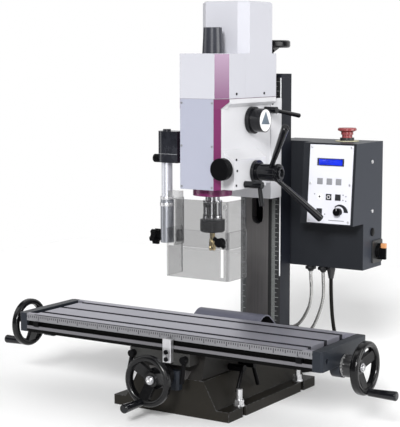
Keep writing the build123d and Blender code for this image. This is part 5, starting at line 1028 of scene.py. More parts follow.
def metres(points: Places) -> list[Triple]:
    """Points given in millimetres, in metres."""
    return [tuple(value / 1000.0 for value in point) for point in points]


def dress(node: str, finish: Surface, *parts: tuple[Surface, FaceTest]) -> None:
    """Gives a CAD node its finish, and other finishes to the faces that pass their tests.

    Args:
        node: Node name.
        finish: Finish of the other faces.
        *parts: Finishes with the tests of their faces, the first that passes counting.
    """
    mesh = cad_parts[node].data
    mesh.materials.clear()
    for each in (finish, *(part[0] for part in parts)):
        mesh.materials.append(each.material())
    for face in mesh.polygons:
        passed = (index for index, part in enumerate(parts, 1) if part[1](face.center, face.normal))
        face.material_index = next(passed, 0)
    LOG.info("dressed %s", node)


def near_axis(axis: Axis, centre: Triple, radius: float) -> PointTest:
    """A test for places near a line.

    Args:
        axis: Direction of the line.
        centre: A point of the line.
        radius: Largest distance from it.

    Returns:
        The test.
    """

    def test(place: Vector) -> bool:
        """Whether a place is near the line."""
        away = place - Vector(centre)
        away[axis.value] = 0.0
        return away.length < radius

    return test


# Studio


@dataclass
class Studio:
    """Floor, light and camera.

    Attributes:
        eye: Camera place.
        aim: Camera direction.
        lens: Focal length in millimetres on a 36 mm frame.
        floor_size: Side of the floor.
        surround: Brightness of the room that lights the machine.
        sun: Strength of the main light.
        sun_way: Direction the main light shines in.
        sun_spread: Width of the main light in degrees.
        side: Place of the soft light at the right.
        side_aim: What the soft light points at.
        side_size: Side of the soft light.
        side_power: Power of the soft light.
        dark: Brightness of reflections between the panels.
        panels: Compass direction, half width and brightness of each panel seen in reflections.
        soft: Width of a panel's soft edge in degrees.
    """

    eye: Triple = (1.4314, -2.3006, 0.6988)
    aim: Triple = (-0.53557, 0.83615, -0.1184)
    lens: float = 113.26
    floor_size: float = 3.4
    surround: float = 0.58
    sun: float = 3.2
    sun_way: Triple = (-0.318, 0.839, -0.442)
    sun_spread: float = 14.0
    side: Triple = (2.6, 0.3, 1.1)
    side_aim: Triple = (0.0, 0.0, 0.4)
    side_size: float = 1.8
    side_power: float = 36.0
    dark: float = 0.10
    panels: Places = ((-64.0, 11.0, 2.0), (24.0, 4.0, 4.5), (98.0, 9.0, 1.6), (190.0, 48.0, 0.85))
    soft: float = 6.0

    def build(self) -> None:
        """Builds the studio."""
        self.floor()
        self.room()
        self.lamps()
        self.camera()

    def floor(self) -> None:
        """A flat pale floor."""
        Bench.clear()
        bpy.ops.mesh.primitive_plane_add(size=self.floor_size, location=ORIGIN)
        floor = bpy.context.object
        floor.name = "studio_floor"
        floor.data.materials.append(FLOOR_WHITE.material())

    def room(self) -> None:
        """A white backdrop, and a dimmer room with bright panels that metal mirrors."""
        world = bpy.data.worlds.new("studio")
        world.use_nodes = True
        shade = Shade(world.node_tree)
        path = shade.node("LightPath").outputs
        seen = shade.math("MAXIMUM", path["Is Camera Ray"], path["Is Transmission Ray"])
        room = shade.ramp(seen, GroupBook.none_to_all, (self.surround, 1.0))
        shown = (room, self.reflections(shade))
        light = shade.ramp(path["Is Glossy Ray"], GroupBook.none_to_all, shown)
        white = rgba((1.0, 1.0, 1.0))
        shade.fill(world.node_tree.nodes["Background"], {"Color": white, "Strength": light})
        bpy.context.scene.world = world

    def reflections(self, shade: Shade) -> Socket:
        """Upright bright panels around the machine.

        Args:
            shade: The world's tree.

        Returns:
            Brightness by direction.
        """
        way = shade.vector("MULTIPLY", shade.node("TexCoord").outputs["Object"], (1.0, 1.0, 0.0))[0]
        flat = shade.vector("NORMALIZE", way)[0]
        level: object = self.dark
        for turn, half, bright in self.panels:
            centre = (math.sin(math.radians(turn)), -math.cos(math.radians(turn)), 0.0)
            near = shade.vector("DOT_PRODUCT", flat, centre)["Value"]
            span = [math.cos(math.radians(half + extra)) for extra in (self.soft, 0.0)]
            level = shade.math("MAXIMUM", level, shade.ramp(near, span, (0.0, bright)))
        return level

    def lamps(self) -> None:
        """A main light and a soft side light."""
        main = bpy.data.lights.new("main_light", "SUN")
        main.energy, main.angle = self.sun, math.radians(self.sun_spread)
        self.put(main, ORIGIN, Vector(self.sun_way))
        side = bpy.data.lights.new("side_light", "AREA")
        side.energy, side.size = self.side_power, self.side_size
        self.put(side, self.side, Vector(self.side_aim) - Vector(self.side))

    def camera(self) -> None:
        """The photograph's point of view."""
        data = bpy.data.cameras.new("photo_camera")
        data.lens = self.lens
        bpy.context.scene.camera = self.put(data, self.eye, Vector(self.aim))
        bpy.context.scene.view_settings.view_transform = "Standard"

    @staticmethod
    def put(data: bpy.types.ID, place: Triple, way: Vector) -> Piece:
        """Sets a light or camera into the scene.

        Args:
            data: Its settings.
            place: Where it stands.
            way: Where it points.

        Returns:
            Its object.
        """
        made = bpy.data.objects.new(data.name, data)
        made.location = place
        made.rotation_euler = way.to_track_quat("-Z", "Y").to_euler()
        bpy.context.scene.collection.objects.link(made)
        return made


# Cables


def lay_cable(name: str, points: Places, diameter: float, finish: Finish) -> Piece:
    """A round cable on one smooth spline, riding on the base.

    Args:
        name: Piece name.
        points: Control points in metres.
        diameter: Cable diameter.
        finish: Its finish.

    Returns:
        The curve object.
    """
    curve = bpy.data.curves.new(name, "CURVE")
    curve.dimensions = "3D"
    curve.bevel_depth = diameter / 2
    curve.bevel_resolution = 4
    curve.use_fill_caps = True
    spline = curve.splines.new("NURBS")
    spline.points.add(len(points) - 1)
    for point, place in zip(spline.points, points):
        point.co = (*place, 1.0)
    spline.order_u = 3
    spline.use_endpoint_u = True
    spline.resolution_u = 6
    curve.materials.append(finish.material())
    cable = bpy.data.objects.new(name, curve)
    bpy.context.scene.collection.objects.link(cable)
    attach(cable, Body.BASE.value)
    LOG.info("piece %s on %s", name, Body.BASE.value)
    return cable


@dataclass
class MainsLead:
    """Mains lead from the control box to the bench, its put-away coil and the coil's tie.

    Attributes:
        diameter: Lead diameter.
        length: Lead length; not used.
        route: Control points down to the coil, in millimetres.
        coil_x: Middle of the coil.
        turns: Half turns as Y of the middle, radius, side, first and last height, in millimetres.
        steps: Control points of a half turn.
        tail: Points from the coil to the plug.
        tie: Corners of the tie round the turns.
        tie_wall: Thickness of the tie.
        tie_round: Width of the tie's rounded corners.
    """

    diameter: float = 0.008
    length: float = 1.89
    route: Places = (
        (137, 240, 221), (137, 240, 204), (138, 240.3, 176), (140, 241.5, 138), (143.5, 247, 100),
        (147, 261, 62), (144, 284, 33), (132, 311, 14), (112, 336, 6), (86, 353, 4.1), (54, 363.5, 4.1))
    coil_x: float = 20.0
    turns: Sequence[tuple[float, ...]] = (
        (305.0, 58.5, 1, 4.1, 4.1), (300.1, 53.6, -1, 4.1, 4.1), (305.0, 48.7, 1, 4.1, 4.1),
        (300.1, 43.8, -1, 4.1, 4.1), (305.0, 38.9, 1, 4.1, 4.1), (300.1, 34.0, -1, 4.1, 12.7),
        (295.2, 38.9, 1, 12.7, 12.7), (300.1, 43.8, -1, 12.7, 12.7), (295.2, 48.7, 1, 12.7, 12.7),
        (300.1, 53.6, -1, 12.7, 12.7))
    steps: int = 8
    tail: Places = ((-8.0, 353.7, 12.7), (-52.0, 353.7, 12.7))
    tie: Places = ((0.0485, 0.2955, 0.0), (0.0790, 0.3065, 0.0174))
    tie_wall: float = 0.0007
    tie_round: float = 0.0025

    def build(self) -> None:
        """Builds the lead and its tie."""
        points = metres([*self.route, *self.coil_points(), *self.tail])
        lead = lay_cable("mains_lead", points, self.diameter, LEAD_RUBBER)
        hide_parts("mains_cable", "mains_cable_coil")
        strap = Bench.cube("coil_tie", *self.tie)
        Bench.soften(Bench.hollow(strap, Axis.Y.vector, self.tie_wall), self.tie_round, 3)
        Bench.done(strap, RUBBER, Body.BASE, "black_rubber")

    def coil_points(self) -> list[Triple]:
        """Control points of the coil's half turns.

        Returns:
            The points in millimetres.
        """
        points = []
        for middle, radius, side, low, high in self.turns:
            reach = side * radius / math.cos(math.pi / (2 * self.steps))
            for step in range(self.steps):
                share = (step + 0.5) / self.steps
                angle = math.pi * share
                points.append((self.coil_x - reach * math.sin(angle), middle + reach * math.cos(angle),
                               low + (high - low) * share))
        return points


@dataclass
class Conduits:
    """Two grey conduits from the control box to the terminal box behind the column.

    Attributes:
        diameter: Conduit diameter.
        front: Control points of the front one, in millimetres.
        rear: Control points of the rear one, in millimetres.
        lengths: Lengths of the front and the rear one; not used.
    """

    diameter: float = 0.0076
    front: Places = (
        (88, 240, 233), (88, 240, 220), (89.8, 240.2, 199), (89.4, 241, 177), (84.2, 243, 154.5),
        (73.5, 245, 135), (62.5, 246.8, 118.5), (51, 247.9, 108.3), (37.5, 248.7, 102), (23, 249, 99.8),
        (9, 249, 99.8))
    rear: Places = (
        (118, 240, 233), (118, 240, 220), (119.5, 240.2, 198), (118.6, 240.8, 176), (112.5, 242, 153),
        (103.5, 243.4, 131), (93.5, 245, 111), (80.5, 246.6, 95.5), (65, 247.9, 85), (48, 248.7, 79.5),
        (30, 249, 78), (9, 249, 78))
    lengths: Pair = (0.18, 0.2226)

    def build(self) -> None:
        """Builds both conduits."""
        names, routes = ("conduit_front", "conduit_rear"), (self.front, self.rear)
        for name, route, length in zip(names, routes, self.lengths):
            points = metres(route)
            cable = lay_cable(name + "_tube", points, self.diameter, CONDUIT_GREY)
            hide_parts(name)


# Soft cover


@dataclass
class WayCover:
    """Rubber sheet arched over the Y way behind the saddle.

    Attributes:
        width: Width across the machine.
        thickness: Sheet thickness.
        front: Y and Z where it meets the saddle.
        apex: Y and Z where its two straight runs would meet.
        rear: Y and Z where it meets the column pad.
        bend: Radius of its ridge.
        steps: Strips along each part.
        cuts: Cuts across its width.
        weld: Distance within which points become one.
    """

    width: float = 0.160
    thickness: float = 0.0025
    front: Pair = (-0.0237, 0.118)
    apex: Pair = (0.062, 0.172)
    rear: Pair = (0.152, 0.100)
    bend: float = 0.032
    steps: int = 16
    cuts: int = 9
    weld: float = 0.00005

    def build(self) -> None:
        """Draws an edge up from the column pad, over the ridge and down to the saddle."""
        front, apex, rear = (Vector((0.0, *point)) for point in (self.front, self.apex, self.rear))
        up, down = (apex - front).normalized(), (rear - apex).normalized()
        turn = up.angle(down)
        reach = self.bend * math.tan(turn / 2)
        first, last = apex + down * reach, apex - up * reach
        sheet = self.edge(rear)
        with Bench.edit(sheet):
            bpy.context.tool_settings.mesh_select_mode = (False, True, False)
            bpy.ops.mesh.select_all(action="SELECT")
            bpy.ops.mesh.subdivide(number_cuts=self.cuts)
            self.draw(first - rear)
            bpy.ops.mesh.spin(steps=self.steps, angle=-turn, axis=Axis.X.vector,
                              center=last + up.cross(Axis.X.vector) * self.bend)
            self.draw(front - last)
            bpy.ops.mesh.select_all(action="SELECT")
            bpy.ops.mesh.remove_doubles(threshold=self.weld)
            bpy.ops.mesh.normals_make_consistent(inside=False)
        self.finish(sheet, (first - rear).length + self.bend * turn + (front - last).length)

    def edge(self, place: Vector) -> Piece:
        """A straight edge across the machine.

        Args:
            place: Its middle.

        Returns:
            A mesh of that one edge.
        """
        Bench.clear()
        bpy.ops.mesh.primitive_plane_add(size=1.0, location=place)
        bpy.context.object.scale = (self.width, 0.0, 1.0)
        line = Bench.named("way_cover_sheet")
        with Bench.edit(line):
            bpy.ops.mesh.remove_doubles(threshold=self.weld)
        return line

    def draw(self, way: Vector) -> None:
        """Draws the selected edge along a straight run, from its start to its end."""
        for _ in range(self.steps):
            bpy.ops.mesh.extrude_edges_move(TRANSFORM_OT_translate={"value": way / self.steps})

    def finish(self, sheet: Piece, length: float) -> None:
        """Args:
            sheet: The drawn sheet.
            length: Its length from end to end; not used.
        """
        ridge = max(sheet.data.polygons, key=lambda face: face.center.z)
        # The sheet's inner face gets the near-black finish: painted shade under the arch.
        for finish in (COVER_RUBBER, COVER_UNDER_SHADE):
            sheet.data.materials.append(finish.material())
        Bench.shade(Bench.thicken(sheet, self.thickness, -1.0 if ridge.normal.z > 0 else 1.0, 1))
        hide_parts("way_cover")
        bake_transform(sheet)
        LOG.info("piece %s", sheet.name)


# Small fittings


@dataclass(frozen=True)
class ScrewSet:
    """Screws of one kind that face one way.

    Attributes:
        name: Start of their names.
        body: CAD body they move with.
        finish: Their finish.
        way: Where their heads face.
        size: Their scale.
        places: Where they sit, in millimetres.
        first: Number of the first one.
    """

    name: str
    body: Body
    finish: Finish
    way: Way
    size: float
    places: Places
    first: int = 1

    def build(self, model: Piece) -> None:
        """Sets copies of a screw.

        Args:
            model: The screw, facing up at the origin.
        """
        turn = Vector(self.way.value).to_track_quat("Z", "Y").to_matrix().to_4x4()
        scale = Matrix.Diagonal((self.size, self.size, self.size, 1.0))
        for number, place in enumerate(metres(self.places), self.first):
            copy = Bench.copy(model, f"{self.name}_{number}", Matrix.Translation(place) @ turn @ scale)
            Bench.done(copy, self.finish, self.body, "black_steel")


@dataclass
class Screws:
    """Small socket screws on the head, box, panel, guard, wheels and table brackets.

    Attributes:
        radius: Head radius.
        height: How far a head stands out.
        sides: Sides of a head.
        rim: Width of the sloped rim as a share of the radius.
        crown: Rise of the rim as a share of the height.
        wall: Width of the flat round the socket as a share of the radius.
        socket: Depth of the socket as a share of the height.
        sets: All the screws.
    """

    radius: float = 0.0022
    height: float = 0.0009
    sides: int = 24
    rim: float = 0.22
    crown: float = 0.3
    wall: float = 0.28
    socket: float = 0.9
    sets: Sequence[ScrewSet] = (
        ScrewSet("panel_screw", Body.HEAD, KEY_GREY, Way.FRONT, 1.0,
                 tuple((x, -78.0, z) for x in (-35.5, 35.5) for z in (602.0, 517.0, 436.5))),
        ScrewSet("grub_screw", Body.HEAD, BLACKENED, Way.RIGHT, 1.1,
                 ((72.0, -46.0, 491.0), (72.0, -43.0, 469.0), (72.0, -46.0, 440.0), (50.0, 93.0, 487.0),
                  (50.0, 135.5, 595.0))),
        ScrewSet("cover_screw", Body.HEAD, BLACKENED, Way.RIGHT, 1.2,
                 ((55.6, -19.0, 619.0), (55.6, 90.0, 618.0))),
        ScrewSet("box_screw", Body.BASE, ZINC, Way.RIGHT, 1.8,
                 ((220.0, 260.0, 473.0), (220.0, 263.0, 369.0))),
        ScrewSet("back_screw", Body.BASE, BLACKENED, Way.REAR, 1.7,
                 tuple((x, 312.0, z) for x in (20.0, 208.0) for z in (259.0, 502.0))),
        ScrewSet("lid_screw", Body.BASE, ZINC, Way.REAR, 1.1,
                 tuple((x, 262.0, z) for x in (-70.0, -10.0) for z in (67.0, 109.0))),
        ScrewSet("shield_screw", Body.GUARD, ZINC, Way.REAR, 2.0, ((73.3, -91.5, 401.5),)),
        ScrewSet("wheel_bolt", Body.X_SCREW, ZINC, Way.RIGHT, 2.7, ((387.3, -118.9, 129.0),)),
        ScrewSet("left_bolt", Body.X_SCREW, ZINC, Way.LEFT, 2.7, ((-395.3, -118.9, 129.0),)),
        ScrewSet("front_bolt", Body.Y_SCREW, ZINC, Way.FRONT, 2.7, ((0.0, -245.0, 80.0),)),
        ScrewSet("bracket_screw", Body.TABLE, BLACKENED, Way.LEFT, 1.9,
                 tuple((-342.2, y, 150.0) for y in (-189.9, -47.9))),
        ScrewSet("bracket_screw", Body.TABLE, BLACKENED, Way.RIGHT, 1.9,
                 tuple((342.2, y, 150.0) for y in (-189.9, -47.9)), 3))

    def build(self) -> None:
        """Models one screw and sets its copies."""
        model = self.model()
        for screws in self.sets:
            screws.build(model)
        bpy.data.objects.remove(model)

    def model(self) -> Piece:
        """One screw head with its socket, facing up at the origin.

        Returns:
            The screw.
        """
        screw = Bench.rod("screw_model", ORIGIN, (0.0, 0.0, self.height), self.radius, self.sides)
        with Bench.edit(screw, lambda c, n: n.z > FACING):
            Bench.raised(self.radius * self.rim, 0.0, 0.0, self.height * self.crown)
            bpy.ops.mesh.inset(thickness=self.radius * self.wall)
            Bench.pull(0.0, 0.0, -self.height * self.socket)
        return screw


@dataclass(frozen=True)
class TurnedRing:
    """A ring round an axis, in millimetres.

    Attributes:
        name: Piece name.
        body: CAD body it moves with.
        slot: Material slot of the record.
        finish: Its finish.
        axis: Axis it is turned on.
        middle: A point of that axis.
        span: Where it starts and ends on the axis.
        radius: Outer radius.
        wall: Wall thickness.
        sides: Number of sides.
    """

    name: str
    body: Body
    slot: str
    finish: Finish
    axis: Axis
    middle: Triple
    span: Pair
    radius: float
    wall: float
    sides: int = Bench.sides

    def build(self) -> None:
        """Builds the ring."""
        ends = [[end if axis is self.axis else self.middle[axis.value] for axis in Axis] for end in self.span]
        ring = Bench.ring(self.name, *metres(ends), self.radius / 1000.0, self.wall / 1000.0, self.sides)
        Bench.done(ring, self.finish, self.body, self.slot)


@dataclass
class Rings:
    """Turned rings on the chuck, the feed hub, the guard post and the cable glands.

    Attributes:
        rings: All the rings, in millimetres.
        pocket: Lowest and highest Z of the chuck's wrench pocket.
        pocket_radius: Outer radius of the pocket's face.
        pocket_wall: Thickness of the pocket's face.
        pocket_ends: Turns of the pocket's two ends in degrees, and the side of each that goes.
    """

    rings: Sequence[TurnedRing] = (
        *(TurnedRing(name, Body.TOOL, slot, finish, Axis.Z, (0.0, -19.0, 0.0), span, radius, wall)
          for name, slot, finish, span, radius, wall in (
              ("chuck_top_ring", "steel", CHROME, (400.8, 404.6), 19.4, 0.65),
              ("chuck_groove", "black_steel", BLACKENED, (374.9, 376.4), 18.9, 0.15),
              ("chuck_low_ring", "steel", CHROME, (366.4, 374.8), 19.8, 1.05))),
        *(TurnedRing(name, Body.GUARD, "aluminium", ALUMINIUM, Axis.Z, (-84.0, -58.0, 0.0), span, radius,
                     wall)
          for name, span, radius, wall in (
              ("post_collar", (405.3, 411.5), 13.6, 2.5), ("sleeve_band", (392.0, 399.0), 14.5, 0.95))),
        *(TurnedRing(name, Body.BASE, "zinc_steel", BLACKENED, Axis.Z, (x, 240.0, 0.0), (237.5, 243.5),
                     11.6, 0.9, 6)
          for name, x in (("gland_nut_1", 88.0), ("gland_nut_2", 118.0))),
        *(TurnedRing(name, Body.FEED, "black_plastic", GLOSS_BLACK, Axis.X, (0.0, 30.0, 462.0), span,
                     radius, wall, 48)
          for name, span, radius, wall in (
              ("feed_hub_ring", (120.5, 125.0), 18.3, 1.25), ("feed_hub_cap", (127.9, 131.5), 12.5, 5.0))))
    pocket: Pair = (0.3915, 0.4004)
    pocket_radius: float = 0.0189
    pocket_wall: float = 0.00015
    pocket_ends: Sequence[Pair] = ((-52.0, -1.0), (25.0, 1.0))

    def build(self) -> None:
        """Builds every ring, and the pocket."""
        for ring in self.rings:
            ring.build()
        low, high = ((*SPINDLE, z) for z in self.pocket)
        face = Bench.ring("chuck_pocket", low, high, self.pocket_radius, self.pocket_wall, Bench.sides)
        for turn, side in self.pocket_ends:
            angle = math.radians(turn)
            Bench.cut(face, low, Vector((math.cos(angle), math.sin(angle), 0.0)) * side)
        Bench.done(face, BLACKENED, Body.TOOL, "black_steel")


@dataclass
class Seams:
    """Light seam round the guard bracket, and a dark strip of painted shadow in the seam between the belt cover
    and the head.

    Attributes:
        bracket: Lower and upper edge of the bracket's seam.
        bracket_radius: Radius of the bracket's round end, with the seam's stand-out.
        head: X of the head's side at the bracket.
        cover: Lower and upper edge of the cover's seam.
        nose: X and Y of the cover's slanted front corner.
        shoulder: X and Y where the slant meets the side.
        back: Y of the cover's back.
        proud: How far the cover's seam stands out.
    """

    bracket: Pair = (0.4980, 0.4990)
    bracket_radius: float = 0.01745
    head: float = -0.0481
    cover: Pair = (0.6093, 0.6103)
    nose: Pair = (0.040, -0.0775)
    shoulder: Pair = (0.0556, -0.045)
    back: float = 0.140
    proud: float = 0.00015

    def build(self) -> None:
        """Builds both seams."""
        self.bracket_seam()
        self.cover_seam()

    def bracket_seam(self) -> None:
        """Cuts a thin disc in half and draws its flat side to the head."""
        low, high = ((*GUARD_POST, z) for z in self.bracket)
        band = Bench.rod("bracket_seam", low, high, self.bracket_radius, Bench.sides)
        Bench.cut(band, low, Way.RIGHT.value)
        with Bench.edit(band, lambda c, n: n.x > FACING):
            Bench.pull(self.head - GUARD_POST[0], 0.0, 0.0)
        Bench.done(Bench.outward(band), KEY_GREY, Body.HEAD, "black_plastic")

    def cover_seam(self) -> None:
        """Cuts a thin block to the cover's plan, as painted shadow in the seam."""
        low, high = self.cover
        side, front, rear = self.shoulder[0] + self.proud, self.nose[1] - self.proud, self.back + self.proud
        seam = Bench.cube("cover_seam", (-side, front, low), (side, rear, high))
        slant = Vector(self.shoulder) - Vector(self.nose)
        for hand in (-1, 1):
            normal = Vector((hand * slant.y, -slant.x, 0.0)).normalized()
            Bench.cut(seam, Vector((hand * self.nose[0], self.nose[1], low)) + normal * self.proud, normal)
        Bench.done(seam, SEAM_DARK, Body.HEAD, "magenta_plastic")


@dataclass
class SelectorFace:
    """Printed disc on the gear selector, with its pointing triangle.

    Attributes:
        centre: Middle of the knob's face.
        radius: Disc radius.
        sheet: Disc thickness.
        rim: Width of the disc's rim.
        sign: Thickness of the triangle.
        sign_round: Width of the triangle's rounded edges.
        reach: Y and Z reach of the triangle's corners from its middle.
        shift: Y and Z of the triangle's middle from the disc's.
        lean: Turn of the triangle in degrees.
    """

    centre: Triple = (0.081, 0.052, 0.5645)
    radius: float = 0.0222
    sheet: float = 0.0004
    rim: float = 0.0003
    sign: float = 0.0003
    sign_round: float = 0.0001
    reach: Pair = (0.0193, 0.0175)
    shift: Pair = (0.0002, 0.0010)
    lean: float = -3.0

    def build(self) -> None:
        """Builds the disc and its triangle."""
        start = Vector(self.centre)
        end = start + Vector((self.sheet, 0.0, 0.0))
        disc = Bench.rod("selector_disc", start, end, self.radius, Bench.sides)
        with Bench.edit(disc, lambda c, n: n.x > FACING):
            bpy.ops.mesh.inset(thickness=self.rim)
        Bench.done(disc, KEY_WHITE, Body.SELECTOR, "white_panel")
        sign = Bench.rod("selector_triangle", ORIGIN, (self.sign, 0.0, 0.0), 1.0, 3)
        sign.scale = (1.0, *self.reach)
        sign.rotation_euler = (math.radians(self.lean), 0.0, 0.0)
        sign.location = start + Vector((self.sheet, *self.shift))
        Bench.soften(Bench.outward(Bench.apply(sign)), self.sign_round, 2)
        Bench.done(sign, SIGN_GREY, Body.SELECTOR, "black_plastic")


@dataclass
class Keypad:
    """Display, keys and printed marks of the operating panel.

    Its pieces are made on the plate's own X, across, and Y, up the slope, and then set onto the console.

    Attributes:
        origin: Lower left corner of the plate on the console.
        slope: Up direction of the sloped console.
        plate: Height of the printed surface over the console.
        bezel: Corners of the display's bezel.
        bezel_wall: Width of its frame.
        bezel_depth: Depth of its recess.
        bezel_round: Width of its bevel.
        screen: Corners of the lit screen.
        screen_round: Width of its bevel.
        keys: Middles of the square keys in millimetres, with their finishes.
        key: Side of a square key.
        lift: How far a key or lamp stands out.
        crown: Width and rise of the slope round a key's top.
        key_round: Width of a key's rounded edges.
        start: Middle of the start key in millimetres.
        start_radius: Its radius.
        mark: Radius and height of the dot on it.
        ring: Middle of the white ring in millimetres.
        ring_radius: Its outer radius.
        ring_wall: Width of its line.
        lamps: Middles of the lamps in millimetres.
        lamp: Radius of a lamp.
        disc_round: Width of the rounded edges of round keys and lamps.
        disc_sides: Sides of the round pieces.
        line: Corners of the printed line.
        print_round: Width of the rounded edges of a printed line.
        knob: Place of the speed knob on the plate.
        knob_top: Height of the knob's end over the plate.
        pointer: Corners of the knob's pointer, from the knob's end.
        scale: Radii of the outer and the inner edge of the knob's scale.
        scale_shift: Place of the outer edge's middle, from the knob's.
        scale_ends: Places where the scale is cut off, from the knob, and the side that goes.
        scale_sheet: Thickness of the scale.
        scale_sides: Sides of the scale's edges.
        screws: Middles of the plate's screws in millimetres.
        screw_size: Their scale.
    """

    origin: Triple = (0.114, 0.172248, 0.347990)
    slope: Triple = (0.0, 0.082557, 0.996586)
    plate: float = 0.0015
    bezel: Places = ((0.0185, 0.1195, 0.0), (0.0800, 0.1350, 0.0012))
    bezel_wall: float = 0.0012
    bezel_depth: float = 0.0007
    bezel_round: float = 0.0003
    screen: Places = ((0.0222, 0.1211, 0.0004), (0.0763, 0.1334, 0.0006))
    screen_round: float = 0.00008
    keys: Sequence[tuple[float, float, Finish]] = (
        (26.5, 87.0, KEY_GREY), (48.3, 87.0, KEY_GREY), (69.5, 87.0, KEY_GREY),
        (48.3, 55.0, KEY_DARK), (69.5, 55.0, KEY_DARK), (28.0, 24.0, KEY_DARK))
    key: float = 0.0130
    lift: float = 0.0005
    crown: Pair = (0.0012, 0.0002)
    key_round: float = 0.0004
    start: Pair = (27.3, 55.0)
    start_radius: float = 0.0068
    mark: Pair = (0.0022, 0.0008)
    ring: Pair = (48.3, 55.0)
    ring_radius: float = 0.0040
    ring_wall: float = 0.0011
    lamps: Sequence[Pair] = ((81.5, 60.5), (81.5, 50.0), (88.0, 58.0), (88.0, 48.5), (15.5, 60.0),
                             (41.0, 19.0))
    lamp: float = 0.0015
    disc_round: float = 0.0003
    disc_sides: int = 28
    line: Places = ((0.050, 0.0062, 0.0), (0.086, 0.0078, 0.0003))
    print_round: float = 0.0001
    knob: Pair = (0.073, 0.0255)
    knob_top: float = 0.0118
    pointer: Places = ((-0.0005, 0.002, 0.0), (0.0005, 0.0072, 0.0002))
    scale: Pair = (0.0185, 0.0116)
    scale_shift: Triple = (0.0030, -0.0030, 0.0)
    scale_ends: Sequence[tuple[Triple, Way]] = (((0.0, -0.001, 0.0), Way.FRONT),
                                                ((-0.0095, 0.0, 0.0), Way.LEFT))
    scale_sheet: float = 0.0003
    scale_sides: int = 72
    screws: Sequence[Pair] = tuple((x, y) for x in (4.5, 95.5) for y in (5.0, 81.5, 158.0))
    screw_size: Triple = (1.1, 1.1, 0.8)

    def build(self) -> None:
        """Builds the display, the keys, the lamps, the knob's marks and the plate's screws."""
        self.display()
        self.spread(self.square(),
                    [(f"key_{round(x)}_{round(y)}", (x, y), finish) for x, y, finish in self.keys])
        start = self.disc(self.start_radius, self.lift)
        self.spread(start, [("start_key", self.start, KEY_WHITE)])
        self.spread(self.disc(*self.mark), [("start_mark", self.start, KEY_DARK)])
        self.spread(self.loop(), [("key_ring", self.ring, KEY_WHITE)])
        lamp = self.disc(self.lamp, self.lift)
        self.spread(lamp, [(f"lamp_{round(x)}_{round(y)}", (x, y), KEY_GREY) for x, y in self.lamps])
        self.crescent()
        line = Bench.cube("plate_line", *self.line)
        self.set(Bench.soften(line, self.print_round, 1), KEY_GREY)
        end = Vector((*self.knob, self.knob_top))
        pointer = Bench.cube("speed_pointer", *(end + Vector(corner) for corner in self.pointer))
        self.set(Bench.soften(pointer, self.print_round, 1), KEY_WHITE, Body.SPEED)
        screw = Screws().model()
        screw.scale = self.screw_size
        self.spread(Bench.apply(screw),
                    [(f"plate_screw_{number}", place, ZINC) for number, place in enumerate(self.screws, 1)])

    def set(self, piece: Piece, finish: Surface, body: Body = Body.BASE) -> None:
        """Puts a piece made in the plate's own frame onto the console.

        Args:
            piece: The piece.
            finish: Its finish.
            body: CAD body it moves with.
        """
        up, across = Vector(self.slope).normalized(), Axis.X.vector
        turn = Matrix((across, up, across.cross(up))).transposed().to_4x4()
        rise = Matrix.Translation((0.0, 0.0, self.plate))
        piece.matrix_world = Matrix.Translation(self.origin) @ turn @ rise
        Bench.done(Bench.apply(piece), finish, body, "white_panel")

    def spread(self, model: Piece, rows: Sequence[tuple[str, Pair, Finish]]) -> None:
        """Sets copies of one piece and takes the piece itself away.

        Args:
            model: The piece, at the plate's corner.
            rows: Name, place in millimetres and finish of each copy.
        """
        for name, (x, y), finish in rows:
            self.set(Bench.copy(model, name, Matrix.Translation((x / 1000.0, y / 1000.0, 0.0))), finish)
        bpy.data.objects.remove(model)

    def display(self) -> None:
        """A black bezel with a blue screen set into it."""
        bezel = Bench.cube("display_bezel", *self.bezel)
        with Bench.edit(bezel, lambda c, n: n.z > FACING):
            bpy.ops.mesh.inset(thickness=self.bezel_wall)
            Bench.pull(0.0, 0.0, -self.bezel_depth)
        self.set(Bench.soften(bezel, self.bezel_round, 2), KEY_DARK)
        screen = Bench.cube("display_screen", *self.screen)
        self.set(Bench.soften(screen, self.screen_round, 1), DISPLAY_BLUE)

    def square(self) -> Piece:
        """A square key with a soft crown, over the plate's corner.

        Returns:
            The key.
        """
        half = self.key / 2
        key = Bench.cube("key_model", (-half, -half, 0.0), (half, half, self.lift))
        with Bench.edit(key, lambda c, n: n.z > FACING):
            Bench.raised(self.crown[0], 0.0, 0.0, self.crown[1])
        return Bench.soften(key, self.key_round, 2)

    def disc(self, radius: float, top: float) -> Piece:
        """A round key or lamp, over the plate's corner."""
        disc = Bench.rod("disc_model", ORIGIN, (0.0, 0.0, top), radius, self.disc_sides)
        return Bench.soften(disc, self.disc_round, 2)

    def loop(self) -> Piece:
        """A ring printed on a key, over the plate's corner.

        Returns:
            The ring.
        """
        low, high = (0.0, 0.0, self.lift), (0.0, 0.0, 2 * self.lift)
        ring = Bench.rod("loop_model", low, high, self.ring_radius, self.disc_sides)
        return Bench.hollow(ring, Axis.Z.vector, self.ring_wall)

